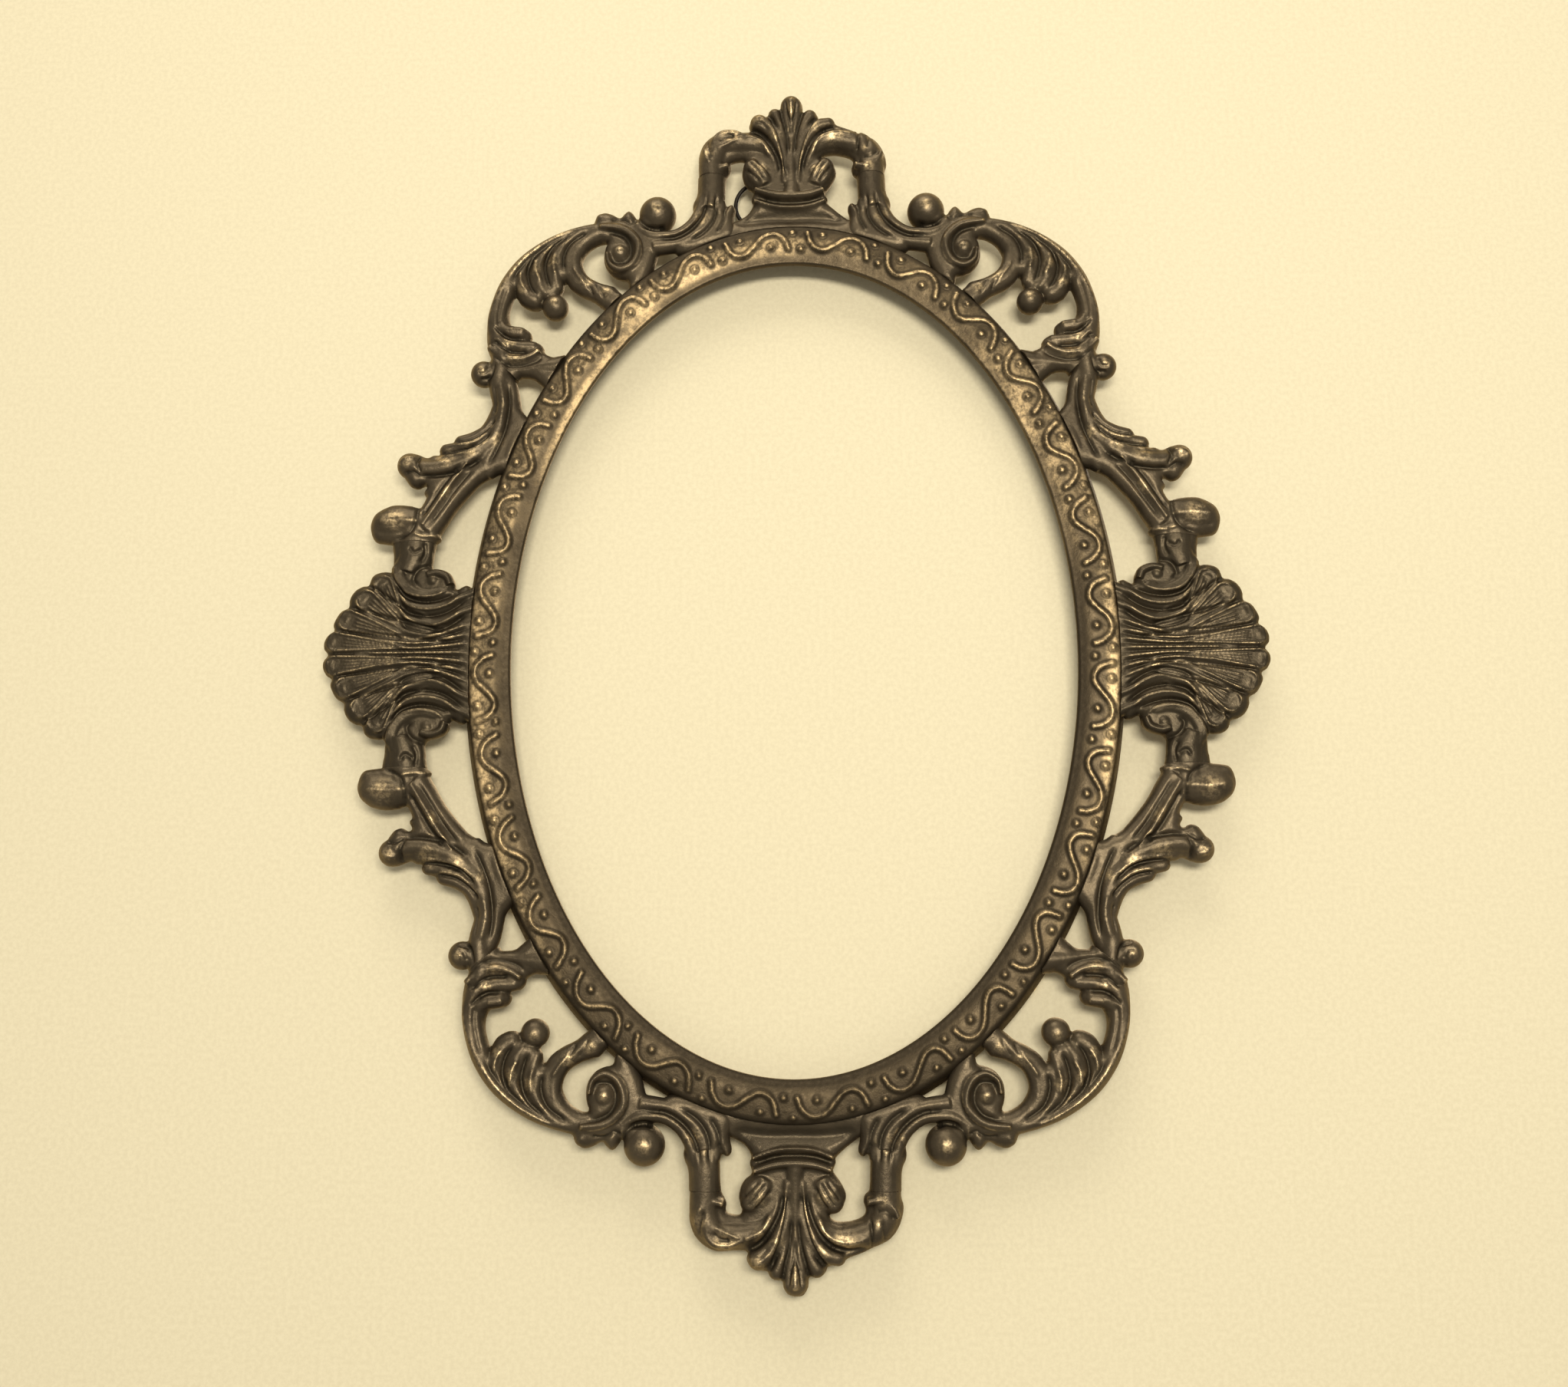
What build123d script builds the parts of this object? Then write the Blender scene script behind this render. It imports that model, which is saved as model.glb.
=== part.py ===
from build123d import *
import math
import os

os.makedirs("parts", exist_ok=True)

# Oval picture frame, upright as it hangs: X to the right, Z up, the front faces -Y.
# The back of the rim lies in the plane y = 0 and all sizes are in millimetres.

# Picture and sight opening
picture_width = 127.0
picture_height = 178.0
picture_clearance = 0.5
sight_width = 117.0
sight_height = 171.8

# Rim section
band_width = 8.3
bevel_width = 1.7
rim_depth = 6.0
outer_wall = 2.2
lip_thickness = 1.6
lip_chamfer = 0.7

# Ornament: points below are drawn for a sight opening of these sizes and scaled to the real one
drawn_width = 120.4
drawn_height = 176.8
mid_depth = 4.0
back_depth = 1.0
least_half_depth = 1.5
most_half_depth = 2.9
web_back = 1.9
web_front = 5.2

# Hanging loop
wire = 0.9
loop_radius = 5.6
loop_lean = 82.0
loop_rivet_height = 101.4
loop_play = 0.08
loop_gap = 0.2

# Turn buttons that hold the back of the picture
button_length = 15.0
button_width = 3.6
button_thick = 0.8
button_play = 0.08
button_gap = 0.1
button_places = (38.0, 142.0, 218.0, 322.0)

# Rivets
rivet_shank = 1.6
rivet_head = 3.0
rivet_head_thick = 0.7
rivet_depth = 2.6
rivet_seat = 0.02
solder_gap = 0.05

kx = sight_width / drawn_width
kz = sight_height / drawn_height
kw = math.sqrt(kx * kz)

sight_a = sight_width / 2
sight_b = sight_height / 2
band_a = sight_a + band_width
band_b = sight_b + band_width
outer_a = band_a + bevel_width
outer_b = band_b + bevel_width
rebate_a = picture_width / 2 + picture_clearance
rebate_b = picture_height / 2 + picture_clearance
rebate_depth = rim_depth - lip_thickness
crest_back = back_depth


def unit(x, z):
    size = math.hypot(x, z)
    return (x / size, z / size)


def half_depth(width):
    return min(most_half_depth, max(least_half_depth, 0.95 * width + 0.5))


def section(x, z, tx, tz, width, depth, mid):
    """Elliptical cross-section of a stroke, square to its direction."""
    plane = Plane(origin=(x, -mid, z), x_dir=(tz, 0, -tx), z_dir=(tx, 0, tz))
    with BuildSketch(plane) as face:
        Ellipse(width, depth)
    return face.sketch


def stroke(points, widths, first=None, last=None, tip=False, mid=mid_depth, depth=None):
    """Tapered cast member through drawn points, with an optional rounded tip."""
    line = [(x * kx, z * kz) for x, z in points]
    sizes = [w * kw for w in widths]
    faces = []
    count = len(line)
    for i in range(count):
        before = line[max(i - 1, 0)]
        after = line[min(i + 1, count - 1)]
        tx, tz = unit(after[0] - before[0], after[1] - before[1])
        if i == 0 and first:
            tx, tz = unit(*first)
        if i == count - 1 and last:
            tx, tz = unit(*last)
        high = depth if depth else half_depth(sizes[i])
        faces.append(section(line[i][0], line[i][1], tx, tz, sizes[i], high, mid))
    if tip:
        w = sizes[-1]
        high = depth if depth else half_depth(w)
        for step, part in ((0.55, 0.84), (0.9, 0.46)):
            x = line[-1][0] + tx * w * step
            z = line[-1][1] + tz * w * step
            faces.append(section(x, z, tx, tz, w * part, high * part, mid))
    with BuildPart() as member:
        loft(faces)
    return member.part


def ball(x, z, radius, mid=mid_depth):
    return Pos(x * kx, -mid, z * kz) * Sphere(radius * kw)


def spoke(start, end, near, far, mid):
    """Straight tapered rib of the shell with a round end."""
    x0, z0 = start[0] * kx, start[1] * kz
    x1, z1 = end[0] * kx, end[1] * kz
    plane = Plane(origin=(x0, -mid, z0), x_dir=(0, 1, 0), z_dir=(x1 - x0, 0, z1 - z0))
    size = math.hypot(x1 - x0, z1 - z0)
    cone = plane * Cone(near * kw, far * kw, size, align=(Align.CENTER, Align.CENTER, Align.MIN))
    return cone + ball(end[0], end[1], far * 1.04, mid=mid)


def plate(points, near, far):
    """Flat web between members, from depth near to depth far."""
    with BuildPart() as web:
        with BuildSketch(Plane.XZ.offset(near)):
            with BuildLine():
                Polyline(*[(x * kx, z * kz) for x, z in points], close=True)
            make_face()
        extrude(amount=far - near)
    return web.part


def join(pieces):
    """One casting out of its members; a member that meets another edge on edge is nudged a little."""
    body = pieces[0]
    size = body.volume
    for number, piece in enumerate(pieces[1:], 1):
        extra = piece.volume
        for nudge in (0.0, 0.03, -0.03, 0.07, -0.07, 0.13, -0.13):
            trial = body + Pos(0.4 * nudge, nudge, 0.7 * nudge) * piece
            grown = trial.volume
            if 0.9999 * max(size, extra) < grown < 1.0001 * (size + extra) and trial.is_valid:
                body = trial
                size = grown
                break
        else:
            raise ValueError("member %d does not join" % number)
    return body


def on_oval(angle, grow):
    """Point, outward direction and turn of the oval that lies grow outside the sight edge."""
    t = math.radians(angle)
    x = (sight_a + grow) * math.cos(t)
    z = (sight_b + grow) * math.sin(t)
    nx, nz = unit(math.cos(t) / (sight_a + grow), math.sin(t) / (sight_b + grow))
    return x, z, nx, nz


# Solid oval block of the rim
with BuildPart() as rim_block:
    with BuildSketch(Plane.XZ):
        Ellipse(outer_a, outer_b)
    extrude(amount=outer_wall)
    with BuildSketch(Plane.XZ.offset(outer_wall)):
        Ellipse(outer_a, outer_b)
    with BuildSketch(Plane.XZ.offset(rim_depth)):
        Ellipse(band_a, band_b)
    loft()

# The same block with the solder gap, carried on past the front, to fit the castings against the rim
with BuildPart() as fit_block:
    with BuildSketch(Plane.XZ):
        Ellipse(outer_a + solder_gap, outer_b + solder_gap)
    extrude(amount=outer_wall)
    with BuildSketch(Plane.XZ.offset(outer_wall)):
        Ellipse(outer_a + solder_gap, outer_b + solder_gap)
    with BuildSketch(Plane.XZ.offset(rim_depth)):
        Ellipse(band_a + solder_gap, band_b + solder_gap)
    loft()
    with BuildSketch(Plane.XZ.offset(rim_depth)):
        Ellipse(band_a + solder_gap, band_b + solder_gap)
    extrude(amount=2 * mid_depth)

wall_middle = ((rebate_a - sight_a) + (outer_a - sight_a)) / 2
button_spots = [on_oval(angle, wall_middle) for angle in button_places]

with BuildPart() as oval_rim:
    add(rim_block.part)
    with BuildSketch(Plane.XZ):
        Ellipse(sight_a, sight_b)
    extrude(amount=rim_depth, mode=Mode.SUBTRACT)
    with BuildSketch(Plane.XZ.offset(rim_depth - lip_chamfer)):
        Ellipse(sight_a, sight_b)
    with BuildSketch(Plane.XZ.offset(rim_depth)):
        Ellipse(sight_a + lip_chamfer, sight_b + lip_chamfer)
    loft(mode=Mode.SUBTRACT)
    with BuildSketch(Plane.XZ):
        Ellipse(rebate_a, rebate_b)
    extrude(amount=rebate_depth, mode=Mode.SUBTRACT)
    for x, z, nx, nz in button_spots:
        with Locations(Plane.XZ):
            with Locations((x, z, 0)):
                Cylinder(rivet_shank / 2 + rivet_seat, rivet_depth,
                         align=(Align.CENTER, Align.CENTER, Align.MIN), mode=Mode.SUBTRACT)
oval_rim.part.label = "oval_rim"
export_step(oval_rim.part, "parts/oval_rim.step")

# Crest: pedestal, collar, palmette and two arms that end square at the post joints
post_x = 17.9
post_joint = 110.0
post_half = 3.2

pedestal = plate([(-12.6, 94.0), (-12.6, 99.8), (-9.6, 101.8), (-7.7, 104.4), (7.7, 104.4), (9.6, 101.8),
                  (12.6, 99.8), (12.6, 94.0)], crest_back, 6.2)
right_half = [
    stroke([(1.3, 107.0), (1.6, 114.0), (2.5, 120.0), (4.3, 124.0)], [1.0, 1.4, 1.9, 1.8], tip=True),
    stroke([(2.6, 108.5), (3.4, 114.0), (6.0, 119.0), (10.5, 120.6), (15.5, 118.8)],
           [1.0, 1.8, 3.0, 2.6, 1.6]),
    stroke([(4.8, 113.0), (7.5, 117.2), (12.0, 118.2), (16.0, 116.2), (17.8, 113.2), (post_x, post_joint)],
           [1.4, 2.2, 2.8, 3.5, 3.7, post_half], last=(0, -1)),
    stroke([(15.6, 112.0), (17.8, 111.6), (20.0, 111.7)], [1.2, 1.5, 1.2], depth=3.3),
    stroke([(5.2, 107.2), (6.2, 110.0), (7.4, 112.4)], [2.0, 3.3, 2.6], first=(1, 2), tip=True),
]
crest_outline = [
    (7.0, 104.2), (7.4, 106.4), (8.8, 107.7), (9.9, 109.4), (10.2, 111.3), (9.5, 112.9), (8.0, 113.9),
    (6.2, 114.4), (8.0, 115.6), (10.0, 115.8), (12.0, 115.5), (13.4, 114.9), (14.1, 114.0), (13.7, 112.4),
    (13.9, 111.0), (14.9, post_joint), (21.2, post_joint), (21.1, 111.2), (21.6, 113.2), (21.0, 115.6),
    (20.0, 117.6), (18.0, 119.6), (15.0, 121.0), (12.5, 122.0), (10.0, 122.9), (8.0, 124.1), (6.3, 124.7),
    (5.6, 125.9), (4.2, 126.5), (2.6, 126.4), (2.6, 128.6), (1.6, 130.2),
]
palm = plate(crest_outline + [(-x, z) for x, z in reversed(crest_outline)], web_back, web_front)
middle = [
    stroke([(0.0, 104.0), (0.0, 112.0), (0.0, 120.0), (0.0, 127.4)], [1.8, 1.5, 1.4, 2.5], tip=True),
    stroke([(-7.2, 106.0), (-4.0, 105.5), (0.0, 105.2), (4.0, 105.5), (7.2, 106.0)], [0.8, 0.9, 0.9, 0.9, 0.8],
           mid=5.2, depth=1.9),
    stroke([(-7.4, 103.7), (-4.0, 103.0), (0.0, 102.8), (4.0, 103.0), (7.4, 103.7)], [0.7, 0.8, 0.8, 0.8, 0.7],
           mid=5.4, depth=1.6),
]
left_half = [mirror(piece, about=Plane.YZ) for piece in right_half]
crest_body = join([pedestal, palm] + middle + right_half + left_half)
with BuildPart() as crest_top:
    add(crest_body)
    add(fit_block.part, mode=Mode.SUBTRACT)
    with Locations(Plane.XZ.offset(crest_back)):
        with Locations((0, loop_rivet_height, 0)):
            Cylinder(rivet_shank / 2 + rivet_seat, rivet_depth,
                     align=(Align.CENTER, Align.CENTER, Align.MIN), mode=Mode.SUBTRACT)
crest_top.part.label = "crest_top"
export_step(crest_top.part, "parts/crest_top.step")

crest_turned = mirror(crest_top.part, about=Plane.XY)
with BuildPart() as crest_bottom:
    add(crest_turned)
crest_bottom.part.label = "crest_bottom"
export_step(crest_bottom.part, "parts/crest_bottom.step")

# Corner scroll: post, grooved foot, shoulder ball, C-scroll with berry, link and lower leaf
neck_joint = (64.2, 64.8)
neck_way = (0.639, -0.769)
neck_plane = Plane(origin=(neck_joint[0] * kx, 0, neck_joint[1] * kz), z_dir=(neck_way[0], 0, neck_way[1]))

corner_foot = plate([
    (14.9, post_joint), (21.2, post_joint), (21.4, 106.0), (22.2, 103.6), (22.3, 100.6), (23.0, 98.5),
    (25.0, 96.6), (28.0, 95.9), (30.2, 96.4), (33.5, 98.2), (35.6, 101.4), (36.8, 102.3), (37.9, 101.4),
    (38.6, 100.5), (40.5, 101.5), (42.4, 101.9), (43.9, 101.0), (44.5, 99.3), (44.0, 96.4), (41.6, 94.9),
    (42.0, 93.0), (42.2, 91.0), (41.8, 88.8), (40.3, 86.8), (38.5, 85.9), (36.8, 85.4), (36.0, 83.0),
    (33.0, 84.0), (31.0, 88.0), (30.0, 91.4), (29.2, 92.6), (28.0, 93.0), (26.5, 92.5), (25.4, 91.5),
    (22.0, 91.5), (13.1, 94.8), (13.1, 99.8), (12.8, 102.3), (13.5, 103.4), (14.3, 103.0), (14.9, 102.4),
], web_back, web_front)
corner_web = plate([
    (38.0, 97.5), (41.0, 99.2), (45.0, 99.1), (50.0, 97.2), (55.0, 94.6), (60.0, 90.7), (63.0, 87.2),
    (65.0, 84.2), (66.5, 80.9), (67.4, 78.0), (67.9, 75.0), (67.9, 72.0), (67.5, 69.0), (66.9, 67.0),
    (66.6, 65.0), (65.0, 63.2), (63.0, 62.2), (61.4, 62.4), (60.0, 62.8), (57.5, 62.4), (56.0, 61.3),
    (53.0, 59.5), (48.5, 65.0), (51.3, 67.5), (53.0, 67.4), (54.8, 68.3), (55.0, 69.4), (55.9, 70.5),
    (57.2, 70.8), (58.8, 70.5), (57.9, 71.6), (57.9, 72.8), (58.9, 73.9), (60.5, 74.3), (62.0, 74.4),
    (62.8, 75.6), (63.1, 77.5), (62.8, 80.0), (62.2, 82.2), (61.8, 83.0), (61.5, 81.5), (60.4, 79.9),
    (58.6, 78.9), (56.8, 78.8), (55.7, 79.6), (55.2, 80.6), (53.4, 80.8), (51.9, 81.9), (51.2, 83.6),
    (50.7, 85.3), (49.4, 83.6), (47.0, 81.9), (44.5, 80.7), (42.3, 79.0), (39.5, 77.0), (37.0, 80.0),
    (39.2, 83.6), (40.5, 84.2), (43.0, 85.0), (45.5, 86.5), (46.8, 88.5), (46.9, 90.5), (45.5, 93.0),
    (43.0, 94.6), (40.0, 95.0),
], web_back + 0.1, web_front - 0.1)
corner_strokes = [
    stroke([(38.5, 97.0), (45.0, 97.2), (52.5, 94.3), (58.8, 90.0), (62.8, 85.0), (64.9, 80.0), (65.5, 75.0),
            (64.9, 70.5)], [2.0, 2.2, 2.6, 2.7, 2.5, 2.2, 2.3, 2.8]),
    ball(39.6, 99.9, 1.4),
    ball(42.2, 99.9, 1.7),
    stroke([(35.4, 97.6), (36.9, 101.0)], [1.2, 1.0], tip=True),
    stroke([(65.3, 73.0), (64.2, 68.6), (64.4, 65.0), (65.0, 61.8)], [2.1, 2.5, 2.6, 2.4], mid=4.2),
    stroke([(41.0, 96.2), (37.0, 95.2), (35.2, 92.0), (36.2, 88.8), (38.8, 87.8)], [1.8, 2.2, 2.1, 2.0, 1.6],
           tip=True, mid=4.3),
    stroke([(46.2, 96.0), (48.6, 92.8), (49.2, 89.2), (47.0, 84.9), (43.2, 82.4), (37.5, 80.0)],
           [1.5, 2.1, 2.1, 2.0, 1.8, 1.8], mid=3.7),
    stroke([(49.5, 95.4), (52.4, 91.6), (53.4, 87.4), (52.6, 83.4)], [1.7, 2.1, 2.1, 1.6], mid=4.4),
    stroke([(54.0, 93.0), (56.6, 89.4), (57.0, 85.6), (55.2, 81.8)], [1.9, 2.4, 2.2, 1.8], tip=True, mid=3.8),
    stroke([(58.6, 90.2), (60.8, 86.8), (60.4, 83.2), (58.4, 80.8)], [1.9, 2.2, 2.0, 1.7], tip=True, mid=4.5),
    stroke([(post_x, post_joint), (18.0, 106.0), (18.6, 101.5), (20.4, 97.5), (24.0, 94.2)],
           [3.1, 3.1, 3.5, 3.4, 2.4], first=(0, -1)),
    stroke([(19.6, 104.0), (21.2, 99.4), (24.2, 96.4), (28.4, 95.5), (33.5, 96.8)], [1.4, 1.7, 1.6, 1.6, 2.0],
           mid=4.6),
    stroke([(18.5, 98.0), (22.0, 94.8), (27.0, 93.6), (34.0, 93.0)], [2.0, 2.6, 2.2, 2.6], mid=3.6),
    stroke([(18.5, 95.5), (15.6, 98.6), (13.9, 101.9)], [1.4, 1.5, 1.1], tip=True, mid=3.8),
    stroke([(30.6, 100.6), (33.6, 98.2), (37.4, 96.6)], [2.8, 2.4, 1.8], mid=3.7),
    stroke([(34.4, 93.5), (33.4, 89.6), (33.6, 85.0)], [1.4, 1.8, 1.8], mid=3.5),
    stroke([(65.6, 75.2), (63.0, 72.6), (60.2, 72.3)], [1.5, 1.8, 1.7], tip=True, mid=4.5),
    stroke([(65.8, 72.0), (61.5, 69.4), (57.2, 69.3)], [1.6, 1.8, 1.5], tip=True, mid=3.8),
    stroke([(65.6, 69.0), (61.2, 66.9), (57.4, 67.2), (54.0, 67.4)], [1.6, 1.8, 1.6, 1.2], mid=4.4),
    stroke([(64.0, 66.4), (58.6, 64.8), (54.6, 64.6), (50.0, 64.4)], [1.8, 2.0, 2.4, 3.2], mid=3.6),
]
corner_balls = [ball(30.2, 101.2, 4.2), ball(38.4, 91.4, 2.3), ball(52.8, 79.4, 2.95)]
corner_body = join([corner_foot, corner_web] + corner_strokes + corner_balls)
with BuildPart() as corner_scroll_tr:
    add(corner_body)
    add(fit_block.part, mode=Mode.SUBTRACT)
    add(pedestal, mode=Mode.SUBTRACT)
    split(bisect_by=neck_plane, keep=Keep.BOTTOM)
corner_scroll_tr.part.label = "corner_scroll_tr"
export_step(corner_scroll_tr.part, "parts/corner_scroll_tr.step")

# Side strap: volute ball, stem, stepped leaf with its bud, diagonal strap and knob
knob_joint = (82.0, 24.6)
knob_half = 4.2

strap_web = plate([
    (61.5, 62.5), (62.2, 65.2), (64.2, 66.8), (66.9, 66.8), (66.4, 63.0), (65.8, 61.0), (65.7, 58.5),
    (66.3, 56.0), (67.2, 53.5), (68.3, 51.5), (69.6, 50.2), (71.5, 49.4), (73.4, 48.9), (74.4, 48.0),
    (74.2, 47.2), (75.6, 47.0), (77.0, 46.7), (77.6, 45.7), (77.3, 44.7), (78.6, 44.8), (80.0, 44.2),
    (81.8, 44.8), (83.5, 45.2), (85.2, 44.8), (86.3, 43.4), (86.2, 41.5), (85.2, 40.0), (84.3, 38.6),
    (83.4, 37.6), (82.0, 37.3), (80.6, 37.9), (79.9, 37.4), (80.6, 35.9), (80.0, 35.0), (81.4, 32.5),
    (83.0, 33.1), (86.0, 33.3), (89.0, 32.6), (91.0, 30.9), (91.8, 29.0), (91.4, 26.5), (90.5, 25.2),
    (88.0, 25.0), (86.4, knob_joint[1]), (77.8, knob_joint[1]), (76.4, 25.6), (76.7, 27.5), (74.0, 31.6),
    (71.5, 35.3), (70.0, 36.9), (67.5, 38.7), (64.6, 40.2), (60.0, 42.0), (56.0, 52.0), (57.6, 54.8),
    (59.1, 56.4), (59.6, 57.2), (60.6, 57.5), (61.0, 59.5),
], web_back, web_front)
strap_strokes = [
    stroke([(64.4, 67.0), (64.5, 64.6), (64.6, 60.8), (63.6, 56.5), (64.0, 52.0), (66.0, 47.5), (69.0, 43.6)],
           [2.5, 2.6, 2.4, 2.6, 2.8, 2.8, 2.6]),
    stroke([(60.0, 57.0), (61.4, 52.0), (63.2, 47.0), (65.2, 42.4), (67.0, 39.6)], [1.6, 2.0, 2.2, 2.0, 1.4],
           mid=3.6),
    stroke([(65.4, 63.2), (66.6, 63.4), (68.3, 63.5)], [1.7, 2.6, 2.95], tip=True),
    stroke([(64.4, 53.8), (66.6, 50.6), (69.6, 48.8), (72.8, 48.0)], [1.2, 1.4, 1.3, 1.2], tip=True, mid=3.6),
    stroke([(65.2, 50.2), (68.6, 47.2), (72.4, 46.3), (75.8, 46.0)], [1.4, 1.6, 1.5, 1.3], tip=True, mid=4.4),
    stroke([(66.4, 46.8), (69.6, 44.0), (74.0, 42.4), (79.0, 41.8), (83.0, 42.2)], [2.2, 2.6, 2.7, 2.4, 2.2],
           mid=4.2),
    stroke([(65.6, 43.0), (70.0, 39.2), (74.6, 34.8), (77.8, 30.6), (80.0, 27.2)], [2.2, 2.5, 3.2, 3.2, 3.1],
           mid=3.8),
    stroke([(72.0, 41.0), (77.0, 38.2), (80.4, 36.2)], [2.2, 1.8, 1.2], depth=2.0, mid=3.5),
    stroke([(79.0, 29.6), (83.0, 29.5), (86.4, 29.3), (88.6, 29.0)], [2.4, 3.6, 4.2, 3.4], tip=True, mid=4.1),
    stroke([(81.0, 30.0), (81.8, 27.2), knob_joint], [3.0, 3.8, knob_half], last=(0, -1), mid=3.7),
    stroke([(70.0, 41.2), (74.5, 35.9), (79.2, 29.4)], [0.6, 0.7, 0.7], mid=6.2, depth=1.1),
    stroke([(80.4, 41.9), (82.0, 42.1), (83.6, 42.3)], [2.2, 2.8, 2.95], tip=True, mid=4.1),
    stroke([(81.8, 40.8), (82.2, 39.2)], [1.5, 1.6], tip=True, mid=4.1),
]
strap_body = join([strap_web] + strap_strokes)
with BuildPart() as side_strap_tr:
    add(strap_body)
    add(fit_block.part, mode=Mode.SUBTRACT)
    split(bisect_by=neck_plane, keep=Keep.TOP)
side_strap_tr.part.label = "side_strap_tr"
export_step(side_strap_tr.part, "parts/side_strap_tr.step")

# Shell: fan of seven ribs between two necks whose ends roll up as volutes
upper_ribs = [
    spoke((66.0, 2.6), (94.6, 7.2), 1.4, 2.8, 4.1),
    spoke((67.0, 4.4), (91.0, 11.9), 1.3, 2.6, 3.8),
    spoke((76.0, 5.6), (87.6, 15.0), 1.2, 2.4, 4.2),
]
upper_half = upper_ribs + [
    stroke([knob_joint, (82.2, 21.4), (83.2, 18.0), (81.6, 14.6), (78.0, 13.4), (75.0, 14.4)],
           [4.1, 3.8, 3.0, 2.2, 1.9, 1.7], first=(0, -1), tip=True, mid=3.7),
    stroke([(85.2, 16.6), (83.4, 12.0), (79.0, 9.9), (74.4, 10.6), (67.0, 13.4)], [1.5, 1.8, 1.6, 1.5, 1.5],
           mid=4.2),
    stroke([(85.6, 12.4), (83.2, 8.2), (78.6, 6.2), (73.8, 7.2), (66.0, 10.0)], [1.3, 1.6, 1.5, 1.5, 1.5],
           mid=4.5),
    ball(77.4, 16.4, 1.9, mid=4.4),
]
shell_outline = [
    (66.0, 11.5), (68.5, 14.2), (70.2, 15.2), (71.4, 14.9), (72.7, 14.4), (73.0, 16.3), (74.5, 17.8),
    (77.0, 18.5), (78.2, 19.4), (77.9, 21.5), (77.8, knob_joint[1]), (86.4, knob_joint[1]), (86.5, 21.0),
    (86.4, 18.6), (88.0, 18.3), (89.6, 18.1), (91.0, 17.2), (91.7, 15.6), (93.0, 15.1), (94.6, 14.1),
    (95.6, 12.4), (95.8, 10.7), (97.2, 9.6), (98.3, 8.0), (98.6, 6.4), (98.4, 5.0), (99.8, 3.7), (100.4, 1.8),
]
fan = plate(shell_outline + [(x, -z) for x, z in reversed(shell_outline)], web_back, web_front)
rib = spoke((65.0, 0.0), (97.2, 0.0), 1.5, 2.9, 3.9)
lower_half = [mirror(piece, about=Plane.XY) for piece in upper_half]
shell_body = join([fan, rib] + upper_half + lower_half)
with BuildPart() as shell_right:
    add(shell_body)
    add(fit_block.part, mode=Mode.SUBTRACT)
shell_right.part.label = "shell_right"
export_step(shell_right.part, "parts/shell_right.step")

shell_turned = mirror(shell_right.part, about=Plane.YZ)
with BuildPart() as shell_left:
    add(shell_turned)
shell_left.part.label = "shell_left"
export_step(shell_left.part, "parts/shell_left.step")

# The other three corners and straps are mirror images
for kind, source in (("corner_scroll", corner_scroll_tr), ("side_strap", side_strap_tr)):
    for name, sides in (("tl", [Plane.YZ]), ("br", [Plane.XY]), ("bl", [Plane.YZ, Plane.XY])):
        shape = source.part
        for side in sides:
            shape = mirror(shape, about=side)
        with BuildPart() as copy:
            add(shape)
        copy.part.label = kind + "_" + name
        export_step(copy.part, "parts/" + kind + "_" + name + ".step")


def rivet(x, z, under, depth):
    """Rivet along Y: head behind y = under, shank to the bottom of its hole."""
    with BuildPart() as body:
        with Locations(Plane.XZ.offset(-under)):
            with Locations((x, z, 0)):
                Cylinder(rivet_head / 2, rivet_head_thick, align=(Align.CENTER, Align.CENTER, Align.MAX))
                Cylinder(rivet_shank / 2, depth, align=(Align.CENTER, Align.CENTER, Align.MIN))
        chamfer(body.faces().sort_by(Axis.Y)[-1].edges(), rivet_head_thick * 0.45)
    return body.part


# Hanging loop of wire: an eyelet round its rivet and a ring that leans to the left
loop_y = -crest_back + loop_gap + wire / 2
eyelet_radius = rivet_shank / 2 + loop_play + wire / 2
reach = eyelet_radius + loop_radius
lean = math.radians(90.0 + loop_lean)
loop_plane = Plane(origin=(0, loop_y, loop_rivet_height), x_dir=(1, 0, 0), z_dir=(0, -1, 0))

with BuildPart() as hanging_loop:
    with Locations(loop_plane):
        Torus(eyelet_radius, wire / 2)
        with Locations((reach * math.cos(lean), reach * math.sin(lean), 0)):
            Torus(loop_radius, wire / 2)
hanging_loop.part.label = "hanging_loop"
export_step(hanging_loop.part, "parts/hanging_loop.step")

loop_head = loop_y + wire / 2 + loop_gap
with BuildPart() as loop_rivet:
    add(rivet(0, loop_rivet_height, loop_head, rivet_depth + loop_head + crest_back))
loop_rivet.part.label = "loop_rivet"
export_step(loop_rivet.part, "parts/loop_rivet.step")

# Turn buttons lie along the rim at rest and turn in over the back of the picture
names = ("turn_button_tr", "turn_button_tl", "turn_button_bl", "turn_button_br")
button_head = button_thick + 2 * button_gap
button_reach = button_length - button_width
for name, (x, z, nx, nz) in zip(names, button_spots):
    with BuildPart() as button:
        with BuildSketch(Plane(origin=(x, button_gap, z), x_dir=(nz, 0, -nx), z_dir=(0, 1, 0))):
            with Locations((button_reach / 2, 0)):
                SlotCenterToCenter(button_reach, button_width)
            Circle(rivet_shank / 2 + button_play, mode=Mode.SUBTRACT)
        extrude(amount=button_thick)
    button.part.label = name
    export_step(button.part, "parts/" + name + ".step")

for name, (x, z, nx, nz) in zip(names, button_spots):
    with BuildPart() as pin:
        add(rivet(x, z, button_head, rivet_depth + button_head))
    label = name.replace("turn_button", "button_rivet")
    pin.part.label = label
    export_step(pin.part, "parts/" + label + ".step")
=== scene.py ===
import math

import bmesh
import bpy
import numpy as np
from mathutils import Matrix, Vector
from mathutils.kdtree import KDTree


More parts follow.
